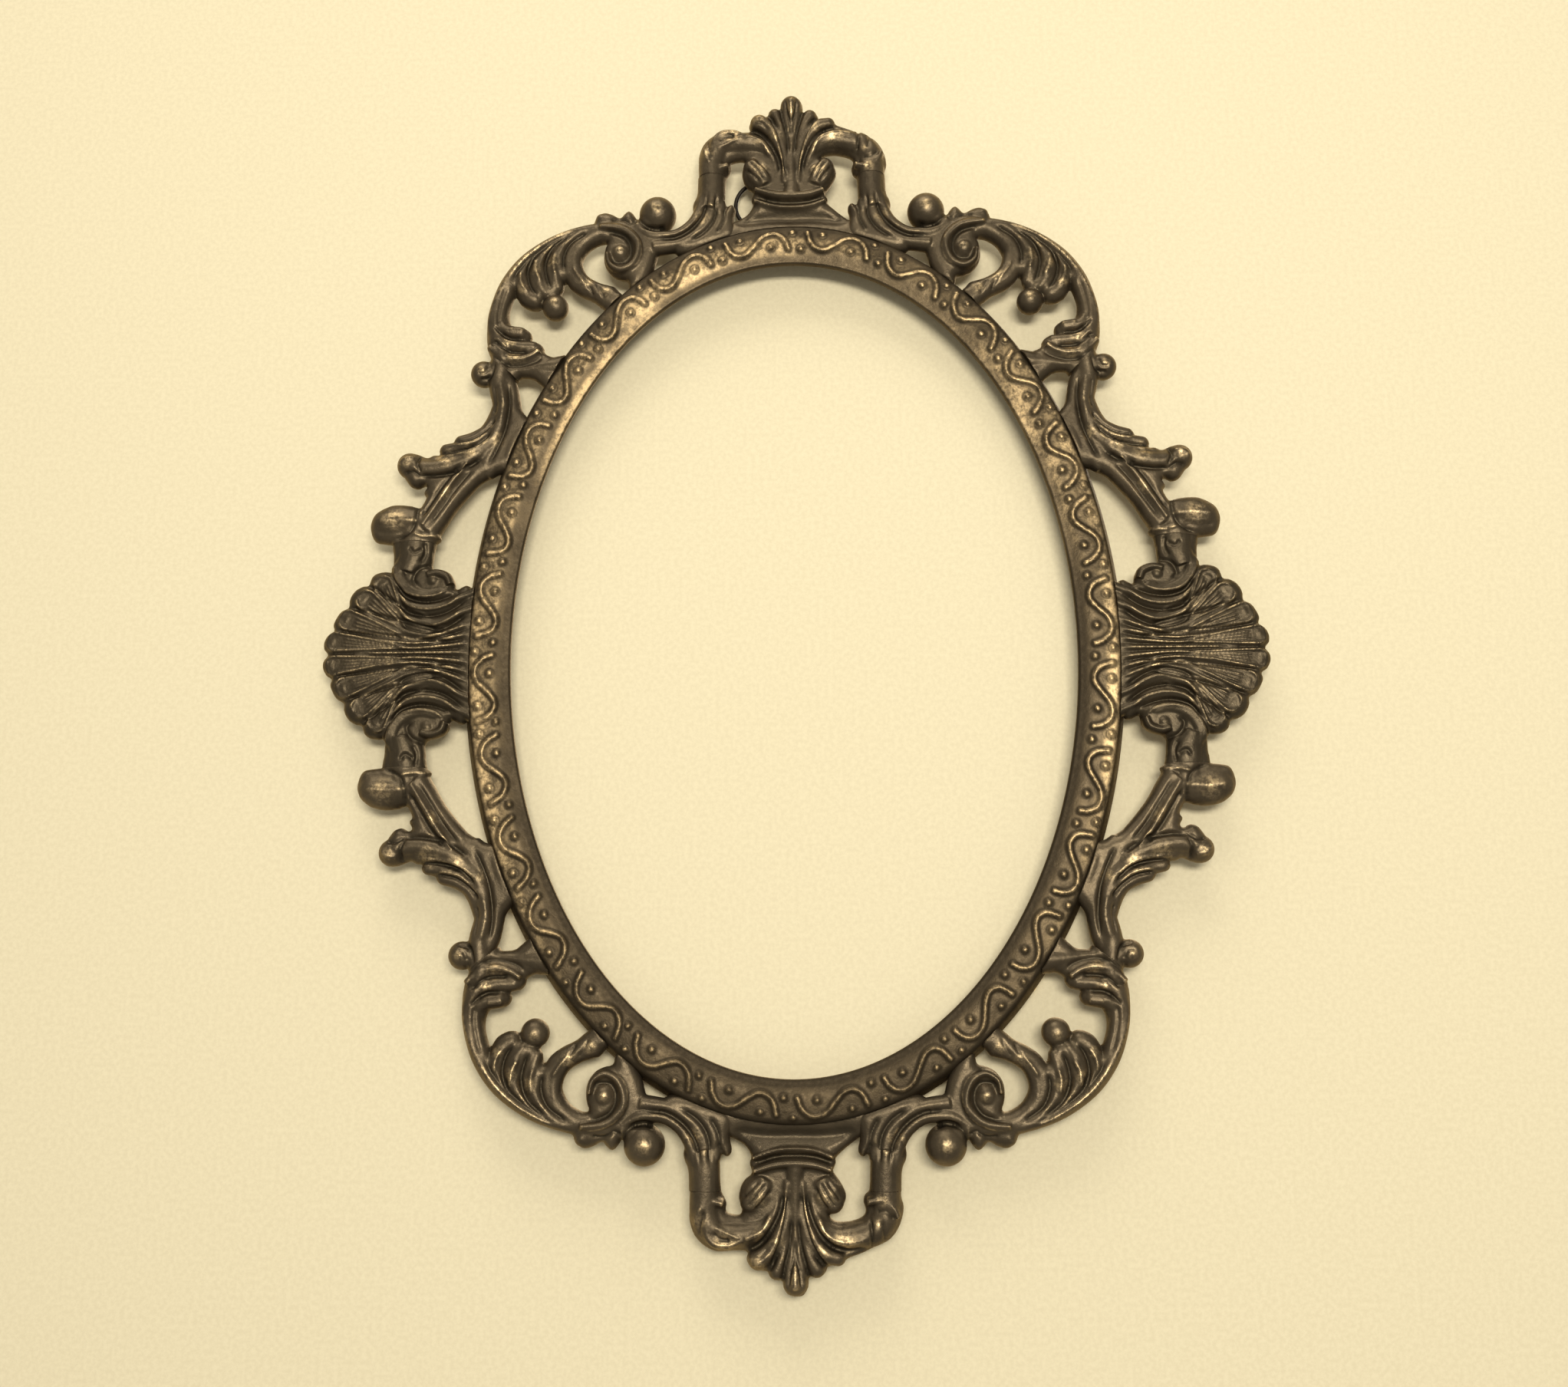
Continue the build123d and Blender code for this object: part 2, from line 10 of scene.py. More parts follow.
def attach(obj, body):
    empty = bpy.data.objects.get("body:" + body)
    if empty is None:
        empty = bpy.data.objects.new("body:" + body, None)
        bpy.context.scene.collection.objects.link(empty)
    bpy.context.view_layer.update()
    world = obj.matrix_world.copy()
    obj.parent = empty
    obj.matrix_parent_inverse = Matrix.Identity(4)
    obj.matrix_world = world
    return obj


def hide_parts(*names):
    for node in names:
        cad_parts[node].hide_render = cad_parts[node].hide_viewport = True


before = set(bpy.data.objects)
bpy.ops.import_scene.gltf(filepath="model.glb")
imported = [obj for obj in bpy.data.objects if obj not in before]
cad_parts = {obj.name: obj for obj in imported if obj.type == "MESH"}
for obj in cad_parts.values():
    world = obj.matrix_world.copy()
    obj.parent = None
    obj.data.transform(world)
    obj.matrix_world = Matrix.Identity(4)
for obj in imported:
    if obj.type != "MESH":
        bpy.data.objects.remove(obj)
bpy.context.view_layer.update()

# Sizes in millimetres, as in the part; the front faces -Y and "depth" is measured from the rim's back
SIGHT_A, SIGHT_B = 58.5, 85.9
REBATE_A, REBATE_B = 64.0, 89.5
BAND, BEVEL = 8.3, 1.7
RIM_DEPTH, OUTER_WALL, REBATE_DEPTH = 6.0, 2.2, 4.4
MID = 4.0  # depth of a member's middle
CREST_BACK = 1.0  # clears the hanging loop
GROOVE = 0.4  # between the rim's band and the castings
UNDER_SKIN = 0.12  # how far castings reach into the rim
VOXEL, FINE_VOXEL = 0.27, 0.19
SMOOTHING = (0.55, -0.57, 0.55, -0.57, 0.5)  # steps towards and away from the neighbours' mean
SHELL_TARNISH = 0.55
DRAWN = 0.9717  # drawn units to millimetres
MM = 0.001  # millimetres to metres

scene = bpy.context.scene
rng = np.random.default_rng(7)


def add(name, data):
    obj = bpy.data.objects.new(name, data)
    scene.collection.objects.link(obj)
    return obj


def aim(obj, spot, right, up, back):
    """Moves an object to the spot and turns its own axes to those directions."""
    turn = Matrix(np.column_stack([right, up, back]).tolist()).to_4x4()
    obj.matrix_world = Matrix.Translation(spot) @ turn


# Curves and raw members

def curve_run(p0, p1, p2, p3, step):
    """Smooth curve from p1 up to p2 at even steps; the first two columns are x and z."""
    count = max(2, int(np.hypot(*(p2 - p1)[:2]) / step) + 1)
    t = np.linspace(0, 1, count, endpoint=False)[:, None]
    return 0.5 * (2 * p1 + (p2 - p0) * t + (2 * p0 - 5 * p1 + 4 * p2 - p3) * t ** 2
                  + (3 * p1 - p0 - 3 * p2 + p3) * t ** 3)


def spline(rows, step=0.3):
    """Open smooth curve through the rows."""
    rows = np.asarray(rows, float)
    ext = np.vstack([2 * rows[0] - rows[1], rows, 2 * rows[-1] - rows[-2]])
    return np.vstack([curve_run(*ext[i:i + 4], step) for i in range(len(rows) - 1)] + [rows[-1:]])


def grid_faces(rows, cols, closed=False):
    """Faces of a grid of points that closes along each row and, if asked, from the last row to the first."""
    faces = []
    for i in range(rows if closed else rows - 1):
        a, b = i * cols, (i + 1) % rows * cols
        for j in range(cols):
            k = (j + 1) % cols
            faces.append((a + j, b + j, b + k, a + k))
    return faces


def half_depth(width):
    """Half the depth of a member of that half width."""
    return np.clip(0.95 * width + 0.5, 1.5, 2.9)


def tube(points, widths, mid=MID, depth=None, tip=False, ring=22):
    """Tapered member with an elliptical section, through drawn points."""
    xz = np.asarray(points, float) * DRAWN
    w = np.asarray(widths, float) * DRAWN
    h = np.full(len(w), depth) if depth else half_depth(w)
    rows = spline(np.column_stack([xz, w, h]))
    way = np.gradient(rows[:, :2], axis=0)
    way /= np.linalg.norm(way, axis=1)[:, None]
    if tip:
        end, t = rows[-1], way[-1]
        for s in (0.25, 0.5, 0.7, 0.86, 0.96, 0.995):
            part = math.sqrt(1 - s * s)
            extra = np.array([[end[0] + t[0] * end[2] * s, end[1] + t[1] * end[2] * s,
                               end[2] * part, end[3] * part]])
            rows = np.vstack([rows, extra])
            way = np.vstack([way, t[None]])
    turn = np.linspace(0, 2 * math.pi, ring, endpoint=False)
    side = np.cos(turn)[None, :] * rows[:, 2:3]
    high = np.sin(turn)[None, :] * rows[:, 3:4]
    x = rows[:, 0:1] + way[:, 1:2] * side
    z = rows[:, 1:2] - way[:, 0:1] * side
    verts = np.stack([x, -(mid + high), z], axis=2).reshape(-1, 3)
    last = (len(rows) - 1) * ring
    ends = [tuple(range(ring)), tuple(last + j for j in reversed(range(ring)))]
    return verts, grid_faces(len(rows), ring) + ends


def ball(x, z, radius, mid=MID, rows=18, cols=28):
    lat = np.linspace(0, math.pi, rows)
    lon = np.linspace(0, 2 * math.pi, cols, endpoint=False)
    r = radius * DRAWN
    verts = [(x * DRAWN + r * math.sin(a) * math.cos(b), -mid - r * math.sin(a) * math.sin(b),
              z * DRAWN + r * math.cos(a)) for a in lat for b in lon]
    return np.array(verts), [(a, d, c, b) for a, b, c, d in grid_faces(rows, cols)]


def ring_of(points, step=0.12):
    """Closed smooth outline through drawn points, in millimetres."""
    rows = np.asarray(points, float) * DRAWN
    ext = np.vstack([rows[-1:], rows, rows[:2]])
    return np.vstack([curve_run(*ext[i:i + 4], step) for i in range(len(rows))])


def tree_of(points):
    """Search tree of points in x and z."""
    tree = KDTree(len(points))
    for i, p in enumerate(points):
        tree.insert((p[0], p[1], 0), i)
    tree.balance()
    return tree


def pillow(points, mid=3.9, front=2.3, back=2.7, edge=2.3, cell=0.3):
    """Cushion-shaped relief inside a closed drawn outline: round at the edge, flat within."""
    ring = ring_of(points)
    low, top = ring.min(0) - cell, ring.max(0) + cell
    nx, nz = int((top[0] - low[0]) / cell) + 2, int((top[1] - low[1]) / cell) + 2
    gx, gz = np.meshgrid(low[0] + cell * np.arange(nx), low[1] + cell * np.arange(nz), indexing="ij")
    gx, gz = gx.ravel(), gz.ravel()
    inside = np.zeros(len(gx), bool)
    for (x0, z0), (x1, z1) in zip(ring, np.roll(ring, -1, axis=0)):
        if z0 == z1:
            continue
        hit = (gz >= min(z0, z1)) & (gz < max(z0, z1))
        hit[hit] = gx[hit] < x0 + (gz[hit] - z0) * (x1 - x0) / (z1 - z0)
        inside ^= hit
    tree = tree_of(ring)
    mask = inside.reshape(nx, nz)
    cells = mask[:-1, :-1] | mask[1:, :-1] | mask[:-1, 1:] | mask[1:, 1:]
    used = np.zeros((nx, nz), bool)
    for a, b in ((0, 0), (1, 0), (0, 1), (1, 1)):
        used[a:nx - 1 + a, b:nz - 1 + b] |= cells
    number = np.full(nx * nz, -1)
    spots = np.where(used.ravel())[0]
    number[spots] = np.arange(len(spots))
    x, z, rise = gx[spots].copy(), gz[spots].copy(), np.zeros(len(spots))
    for i, spot in enumerate(spots):
        near, _, gap = tree.find((gx[spot], gz[spot], 0))
        if inside[spot]:
            rise[i] = math.sqrt(1 - (1 - min(gap, edge) / edge) ** 2)
        else:
            x[i], z[i] = near[0], near[1]
    n = len(spots)
    verts = np.vstack([np.column_stack([x, -(mid + front * rise), z]),
                       np.column_stack([x, -(mid - back * rise), z])])
    number = number.reshape(nx, nz)
    i, k = np.where(cells)
    quads = np.column_stack([number[i, k], number[i + 1, k], number[i + 1, k + 1], number[i, k + 1]])
    faces = [tuple(q) for q in quads.tolist()] + [tuple(q) for q in (quads[:, ::-1] + n).tolist()]
    return verts, faces


def leaf(points, widths, mid=MID):
    """Member that ends in a round tip."""
    return tube(points, widths, mid, tip=True)


def spoke(start, end, near, far, mid):
    """Straight, flat tapered lobe with a round end."""
    return tube([start, ((start[0] + end[0]) / 2, (start[1] + end[1]) / 2), end],
                [near, (near + far) / 2, far], mid=mid, depth=2.1, tip=True)


def flipped(member):
    """The member mirrored top to bottom."""
    verts, faces = member
    return verts * np.array([1, 1, -1]), [tuple(reversed(f)) for f in faces]


def along(start, end, shares):
    """Points at those shares of the straight way from start to end."""
    return [(start[0] + s * (end[0] - start[0]), start[1] + s * (end[1] - start[1])) for s in shares]


# Casting: members melted into one skin, then chased with ridges and grooves

def mesh_arrays(mesh):
    """Vertices, edges and the number of edges at each vertex."""
    v = np.empty(len(mesh.vertices) * 3, np.float64)
    mesh.vertices.foreach_get("co", v)
    e = np.empty(len(mesh.edges) * 2, np.int64)
    mesh.edges.foreach_get("vertices", e)
    count = np.bincount(e, minlength=len(mesh.vertices)).astype(float)
    return v.reshape(-1, 3), e.reshape(-1, 2), count


def neighbour_mean(v, e, count):
    out = np.empty_like(v)
    for c in range(v.shape[1]):
        total = np.bincount(e[:, 0], v[e[:, 1], c], len(v)) + np.bincount(e[:, 1], v[e[:, 0], c], len(v))
        out[:, c] = total / count
    return out


def normals_of(mesh, v):
    mesh.vertices.foreach_set("co", v.ravel())
    mesh.update()
    n = np.empty(len(v) * 3)
    mesh.vertex_normals.foreach_get("vector", n)
    return n.reshape(-1, 3)


def line_push(v, lines, fade_over=0.12, least=0.15):
    """Heights raised and sunk at each vertex by chased lines, which fade out towards their ends.

    A line is (drawn points, height, half width).
    """
    raised = np.zeros(len(v))
    sunk = np.zeros(len(v))
    for points, high, wide in lines:
        path = spline(np.asarray(points, float) * DRAWN, 0.25)
        low, top = path.min(0) - 3 * wide, path.max(0) + 3 * wide
        near = np.where((v[:, 0] > low[0]) & (v[:, 0] < top[0])
                        & (v[:, 2] > low[1]) & (v[:, 2] < top[1]))[0]
        if not len(near):
            continue
        gap = (v[near, 0, None] - path[None, :, 0]) ** 2 + (v[near, 2, None] - path[None, :, 1]) ** 2
        at = gap.argmin(1)
        share = at / (len(path) - 1)
        fade = np.clip(np.minimum(share, 1 - share) / fade_over, least, 1)
        push = high * fade * np.exp(-gap[np.arange(len(near)), at] / wide ** 2)
        if high > 0:
            raised[near] = np.maximum(raised[near], push)
        else:
            sunk[near] = np.minimum(sunk[near], push)
    return raised, sunk


def finished(mesh, v, **layers):
    """The mesh in metres, smooth, with its layers painted on: wear, dark patina, and on the rim painted shade
    and painted glare.
    """
    for name, values in layers.items():
        layer = mesh.attributes.new(name, "FLOAT", "POINT")
        layer.data.foreach_set("value", np.ascontiguousarray(values, np.float32))
    mesh.vertices.foreach_set("co", (v * MM).ravel())
    mesh.update()
    mesh.polygons.foreach_set("use_smooth", np.ones(len(mesh.polygons), bool))
    return mesh


def smoothstep(low, top, value):
    t = np.clip((value - low) / (top - low), 0, 1)
    return t * t * (3 - 2 * t)


def bell(value, middle, wide):
    return np.exp(-((value - middle) / wide) ** 2)


def bend_of(v, e, count, n, rounds):
    """Signed bend of the skin: above 0 on ridges, below 0 in hollows."""
    c = ((v - neighbour_mean(v, e, count)) * n).sum(1)[:, None]
    for _ in range(rounds):
        c = 0.5 * c + 0.5 * neighbour_mean(c, e, count)
    return c[:, 0]


def cast(name, members, lines, rubs, voxel=VOXEL, tarnish=0.0, back=0.0):
    """One casting: members melted, chased with lines, cut off at the rim and at the back, and worn."""
    faces = []
    start = 0
    for v, f in members:
        faces += [tuple(i + start for i in face) for face in f]
        start += len(v)
    raw = bpy.data.meshes.new(name + "_raw")
    raw.from_pydata(np.vstack([v for v, _ in members]).tolist(), [], faces)
    obj = add(name + "_raw", raw)
    melt = obj.modifiers.new("melt", "REMESH")
    melt.mode = "VOXEL"
    melt.voxel_size = voxel
    shape = obj.evaluated_get(bpy.context.evaluated_depsgraph_get())
    mesh = bpy.data.meshes.new_from_object(shape)
    bpy.data.objects.remove(obj)
    bpy.data.meshes.remove(raw)
    mesh.name = name
    v, e, count = mesh_arrays(mesh)
    for step in SMOOTHING:
        v = v + step * (neighbour_mean(v, e, count) - v)
    n = normals_of(mesh, v)
    facing = np.clip((-n[:, 1] + 0.05) / 0.45, 0, 1)
    raised, sunk = line_push(v, lines)
    v = v + n * ((raised + sunk) * facing)[:, None]
    v = v + 0.25 * (neighbour_mean(v, e, count) - v)
    v = keep_off_rim(v)
    v[:, 1] = np.minimum(v[:, 1], -back)
    n = normals_of(mesh, v)
    # Brass shows on ridges and raised lines of the front; hollows and grooves stay dark
    bend = bend_of(v, e, count, n, 2)
    broad = bend_of(v, e, count, n, 14)
    front = np.clip(-n[:, 1] * 0.7 + 0.45, 0, 1)
    high = smoothstep(3.2, 6.6, -v[:, 1])
    wear = smoothstep(0.012, 0.075, bend + 0.8 * broad) * front * (0.25 + 0.75 * high)
    wear = np.maximum(wear, (0.65 - 0.25 * tarnish) * smoothstep(0.14, 0.36, raised) * front)
    hollow = smoothstep(0.004, 0.045, -bend - 0.6 * broad)
    hollow = np.maximum(hollow, 0.5 * smoothstep(0.2, 0.6, -sunk - raised) * facing)
    hollow = np.maximum(hollow, tarnish * (1 - wear) * facing)
    for x, z, radius in rubs:
        gap = ((v[:, 0] - x * DRAWN) ** 2 + (v[:, 2] - z * DRAWN) ** 2) / radius ** 2
        wear = np.maximum(wear, 0.8 * np.exp(-gap) * front * (1 - hollow) * (v[:, 1] < -MID))
    return finished(mesh, v, wear=wear, hollow=hollow)


def keep_off_rim(v):
    """Ends each member just under the rim's outer skin and leaves a groove along the band."""
    depth = -v[:, 1]
    slope = BEVEL * (1 - np.clip((depth - OUTER_WALL) / (RIM_DEPTH - OUTER_WALL), 0, 1))
    grow = BAND + np.maximum(slope, GROOVE) - UNDER_SKIN
    level = np.sqrt((v[:, 0] / (SIGHT_A + grow)) ** 2 + (v[:, 2] / (SIGHT_B + grow)) ** 2)
    inside = level < 1
    out = v.copy()
    out[inside, 0] /= level[inside]
    out[inside, 2] /= level[inside]
    return out


def copy_of(mesh, name, x, z):
    """The mesh mirrored left to right where x is -1 and top to bottom where z is -1."""
    new = mesh.copy()
    new.name = name
    v = mesh_arrays(new)[0]
    new.vertices.foreach_set("co", (v * np.array([x, 1, z])).ravel())
    if x * z < 0:
        new.flip_normals()
    new.update()
    return new


def coat(mesh, slot):
    mesh.materials.clear()
    mesh.materials.append(finishes[slot])


def place(mesh, node, slot="cast_bronze"):
    """Puts the mesh in the scene in place of the part's plain node."""
    obj = add(node + "_cast", mesh)
    coat(mesh, slot)
    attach(obj, "frame")
    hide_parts(node)


# Materials

def material(name):
    mat = bpy.data.materials.new(name)
    mat.use_nodes = True
    tree = mat.node_tree
    coords = tree.nodes.new("ShaderNodeTexCoord").outputs["Object"]
    return mat, tree, tree.nodes["Principled BSDF"], coords


def node(tree, kind, **values):
    made = tree.nodes.new(kind)
    for key, value in values.items():
        if key in made.inputs:
            made.inputs[key].default_value = value
        else:
            setattr(made, key, value)
    return made


def noise(tree, coords, scale, detail, rough=0.6):
    tex = node(tree, "ShaderNodeTexNoise", Scale=scale, Detail=detail, Roughness=rough)
    tree.links.new(coords, tex.inputs["Vector"])
    return tex.outputs["Fac"]


def remap(tree, value, low, high, to_low=0.0, to_high=1.0):
    made = node(tree, "ShaderNodeMapRange", interpolation_type="SMOOTHSTEP")
    for key, number in (("From Min", low), ("From Max", high), ("To Min", to_low), ("To Max", to_high)):
        made.inputs[key].default_value = number
    tree.links.new(value, made.inputs["Value"])
    return made.outputs["Result"]


def math_node(tree, kind, first, second):
    made = node(tree, "ShaderNodeMath", operation=kind)
    for socket, value in zip(made.inputs, (first, second)):
        if isinstance(value, (int, float)):
            socket.default_value = value
        else:
            tree.links.new(value, socket)
    return made.outputs[0]


def mix(tree, share, first, second):
    made = node(tree, "ShaderNodeMix", data_type="RGBA")
    tree.links.new(share, made.inputs["Factor"])
    for key, value in ((6, first), (7, second)):  # its colour sockets
        if isinstance(value, tuple):
            made.inputs[key].default_value = (*value, 1.0)
        else:
            tree.links.new(value, made.inputs[key])
    return made.outputs[2]


def attribute(tree, name):
    return node(tree, "ShaderNodeAttribute", attribute_name=name).outputs["Fac"]


def roughen(tree, shader, height, strength, distance):
    bump = node(tree, "ShaderNodeBump", Strength=strength, Distance=distance)
    tree.links.new(height, bump.inputs["Height"])
    tree.links.new(bump.outputs["Normal"], shader.inputs["Normal"])


def bronze(name, dark, brown, brass, hollow_colour, with_rub_and_glare=False):
    """Antique cast metal: brown patina, dark patina in hollows and brass showing on the rubbed ridges; on the
    rim the dark layer also holds painted shade and the brass also painted glare.
    """
    mat, tree, shader, coords = material(name)
    broad = noise(tree, coords, 120.0, 5.0)
    lumps = noise(tree, coords, 420.0, 3.0, 0.5)
    fine = noise(tree, coords, 900.0, 7.0, 0.7)
    grit = noise(tree, coords, 3000.0, 4.0, 0.6)
    broken = remap(tree, fine, 0.36, 0.66, 0.25, 1.1)
    wear_and_glare = math_node(tree, "MULTIPLY", attribute(tree, "wear"), broken)
    if with_rub_and_glare:
        # rim only: its brass layer, worn brass and painted glare
        rub_and_glare = math_node(tree, "MULTIPLY", attribute(tree, "rub_and_glare"), remap(tree, fine, 0.38, 0.62, 0.5, 1.2))
        rub_and_glare = math_node(tree, "MULTIPLY", rub_and_glare, remap(tree, broad, 0.36, 0.62, 0.65, 1.2))
        wear_and_glare = math_node(tree, "MAXIMUM", wear_and_glare, rub_and_glare)
    skin = mix(tree, remap(tree, broad, 0.35, 0.68), dark, brown)
    skin = mix(tree, remap(tree, wear_and_glare, 0.05, 0.95), skin, brass)
    # dark patina in hollows; on the rim also painted shade
    skin = mix(tree, attribute(tree, "hollow"), skin, hollow_colour)
    tree.links.new(skin, shader.inputs["Base Color"])
    tree.links.new(remap(tree, wear_and_glare, 0.0, 0.8, 0.65, 0.95), shader.inputs["Metallic"])
    shader.inputs["Specular Tint"].default_value = (1.0, 0.80, 0.52, 1.0)
    sheen = remap(tree, wear_and_glare, 0.0, 0.9, 0.36, 0.40 if with_rub_and_glare else 0.27)
    matt = math_node(tree, "ADD", sheen, remap(tree, fine, 0.3, 0.7, -0.06, 0.1))
    if with_rub_and_glare:
        matt = math_node(tree, "ADD", matt, math_node(tree, "MULTIPLY", attribute(tree, "hollow"), 0.16))
    tree.links.new(matt, shader.inputs["Roughness"])
    rough = math_node(tree, "ADD", fine, math_node(tree, "MULTIPLY", grit, 0.3))
    rough = math_node(tree, "ADD", rough, math_node(tree, "MULTIPLY", lumps, 1.4))
    roughen(tree, shader, rough, 0.55, 0.00014)
    return mat


def plain_metal(name, first, second, roughness, metallic):
    """Plain sheet or wire with a little tarnish and fine scratches."""
    mat, tree, shader, coords = material(name)
    broad = noise(tree, coords, 260.0, 5.0)
    fine = noise(tree, coords, 2400.0, 5.0)
    skin = mix(tree, remap(tree, broad, 0.35, 0.7), first, second)
    tree.links.new(skin, shader.inputs["Base Color"])
    shader.inputs["Metallic"].default_value = metallic
    tree.links.new(remap(tree, fine, 0.3, 0.7, roughness - 0.08, roughness + 0.1), shader.inputs["Roughness"])
    roughen(tree, shader, fine, 0.35, 0.00005)
    return mat


finishes = {
    "cast_bronze": bronze("cast_bronze", (0.072, 0.057, 0.038), (0.112, 0.088, 0.057), (0.55, 0.42, 0.24),
                          (0.034, 0.028, 0.019)),
    "rim_bronze": bronze("rim_bronze", (0.058, 0.044, 0.027), (0.100, 0.075, 0.044), (0.62, 0.46, 0.25),
                         (0.026, 0.020, 0.013), with_rub_and_glare=True),
    "dark_wire": plain_metal("dark_wire", (0.035, 0.030, 0.025), (0.070, 0.058, 0.045), 0.42, 0.9),
    "plain_brass": plain_metal("plain_brass", (0.30, 0.22, 0.10), (0.42, 0.32, 0.15), 0.38, 1.0),
}

for name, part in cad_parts.items():
    if name == "hanging_loop":
        coat(part.data, "dark_wire")
    elif "rivet" in name or "button" in name:
        coat(part.data, "plain_brass")


# Joints between castings, in drawn units: point and direction of each cut

POST_CUT = ((17.9, 110), (0, -1))
NECK_CUT = ((64.2, 64.8), (0.639, -0.769))
KNOB_CUT = ((82, 24.6), (0, -1))
LOW_KNOB_CUT = ((82, -24.6), (0, 1))
POST_ZONE_X, POST_ZONE_Z = 0.0119, 0.0995  # the crest's arms lie beyond these, in metres


def trim(mesh, joint, keep, zone=None):
    """Cuts a casting flat at a joint; keep is 1 for the side ahead of the cut, -1 for the one behind."""
    (px, pz), (dx, dz) = joint
    spot = Vector((px * DRAWN * MM, 0, pz * DRAWN * MM))
    way = Vector((dx, 0, dz))
    bm = bmesh.new()
    bm.from_mesh(mesh)
    faces = [f for f in bm.faces if zone is None or zone(f.calc_center_median())]
    # Each once and in a fixed order, so that every run cuts alike
    edges = dict.fromkeys(e for f in faces for e in f.edges)
    verts = dict.fromkeys(v for f in faces for v in f.verts)
    cut = bmesh.ops.bisect_plane(bm, geom=[*faces, *edges, *verts], plane_co=spot, plane_no=way,
                                 clear_outer=keep < 0, clear_inner=keep > 0)
    rims = [e for e in cut["geom_cut"] if isinstance(e, bmesh.types.BMEdge) and e.is_boundary]
    if rims:
        bmesh.ops.holes_fill(bm, edges=rims, sides=0)
    loose = [v for v in bm.verts if not v.link_faces]
    bmesh.ops.delete(bm, geom=loose, context="VERTS")
    bm.to_mesh(mesh)
    bm.free()
    mesh.update()
    return mesh


def bulk_only(mesh):
    """Drops specks that came off when the casting was cut, keeping its largest connected shell."""
    bm = bmesh.new()
    bm.from_mesh(mesh)
    left = set(bm.verts)
    shells = []
    while left:
        todo = [left.pop()]
        shell = []
        while todo:
            v = todo.pop()
            shell.append(v)
            for e in v.link_edges:
                w = e.other_vert(v)
                if w in left:
                    left.remove(w)
                    todo.append(w)
        shells.append(shell)
    shells.sort(key=len)
    for shell in shells[:-1]:
        bmesh.ops.delete(bm, geom=shell, context="VERTS")
    bm.to_mesh(mesh)
    bm.free()
    mesh.update()
    return mesh


# Crest: outline as seen, left and right arms differ a little

crest_right = [
    (7, 103.6), (7.6, 106.2), (8.6, 107.6), (9.7, 109.4), (10.2, 111), (9.7, 112.6), (8.6, 113.9),
    (6.8, 114.4), (7.4, 115.4), (9.2, 115.9), (11.6, 115.6), (13.5, 114.8), (14, 113.6), (13.6, 112.2),
    (13.8, 110.8), (14.9, 109.4), (15, 105), (21.4, 105), (21.1, 110.6), (21.6, 113), (21.2, 115.3),
    (20.5, 117), (19.4, 118.6), (18, 119.7), (15.5, 120.8), (13, 121.9), (10.5, 122.8), (9, 123.7),
    (7.6, 124.2), (6.4, 124.4), (6.1, 125.3), (5.2, 126.2), (4, 126.5), (2.7, 126.3), (2.7, 127.5),
    (2.2, 129), (1.1, 130),
]
crest_left = [
    (-1.3, 129.7), (-2.2, 128.5), (-2.5, 127.1), (-3.6, 127), (-4.6, 126.4), (-5.2, 125.4), (-6.3, 125.2),
    (-8, 125), (-9.2, 124), (-9.7, 122.8), (-9.4, 121.6), (-12, 121.4), (-15.5, 121.5), (-17.5, 120.8),
    (-19.3, 119.4), (-20.4, 117.7), (-21, 115.8), (-21.1, 114), (-20.7, 112), (-20.9, 109.6), (-21.2, 105),
    (-15, 105), (-14.8, 109.6), (-14.1, 111.2), (-13.6, 112.4), (-13.8, 113.8), (-12.6, 114.4),
    (-10.9, 114.5), (-10.6, 113.2), (-11.2, 111.4), (-10.9, 109.4), (-10, 107.8), (-8.6, 106.6),
    (-7.8, 103.6),
]
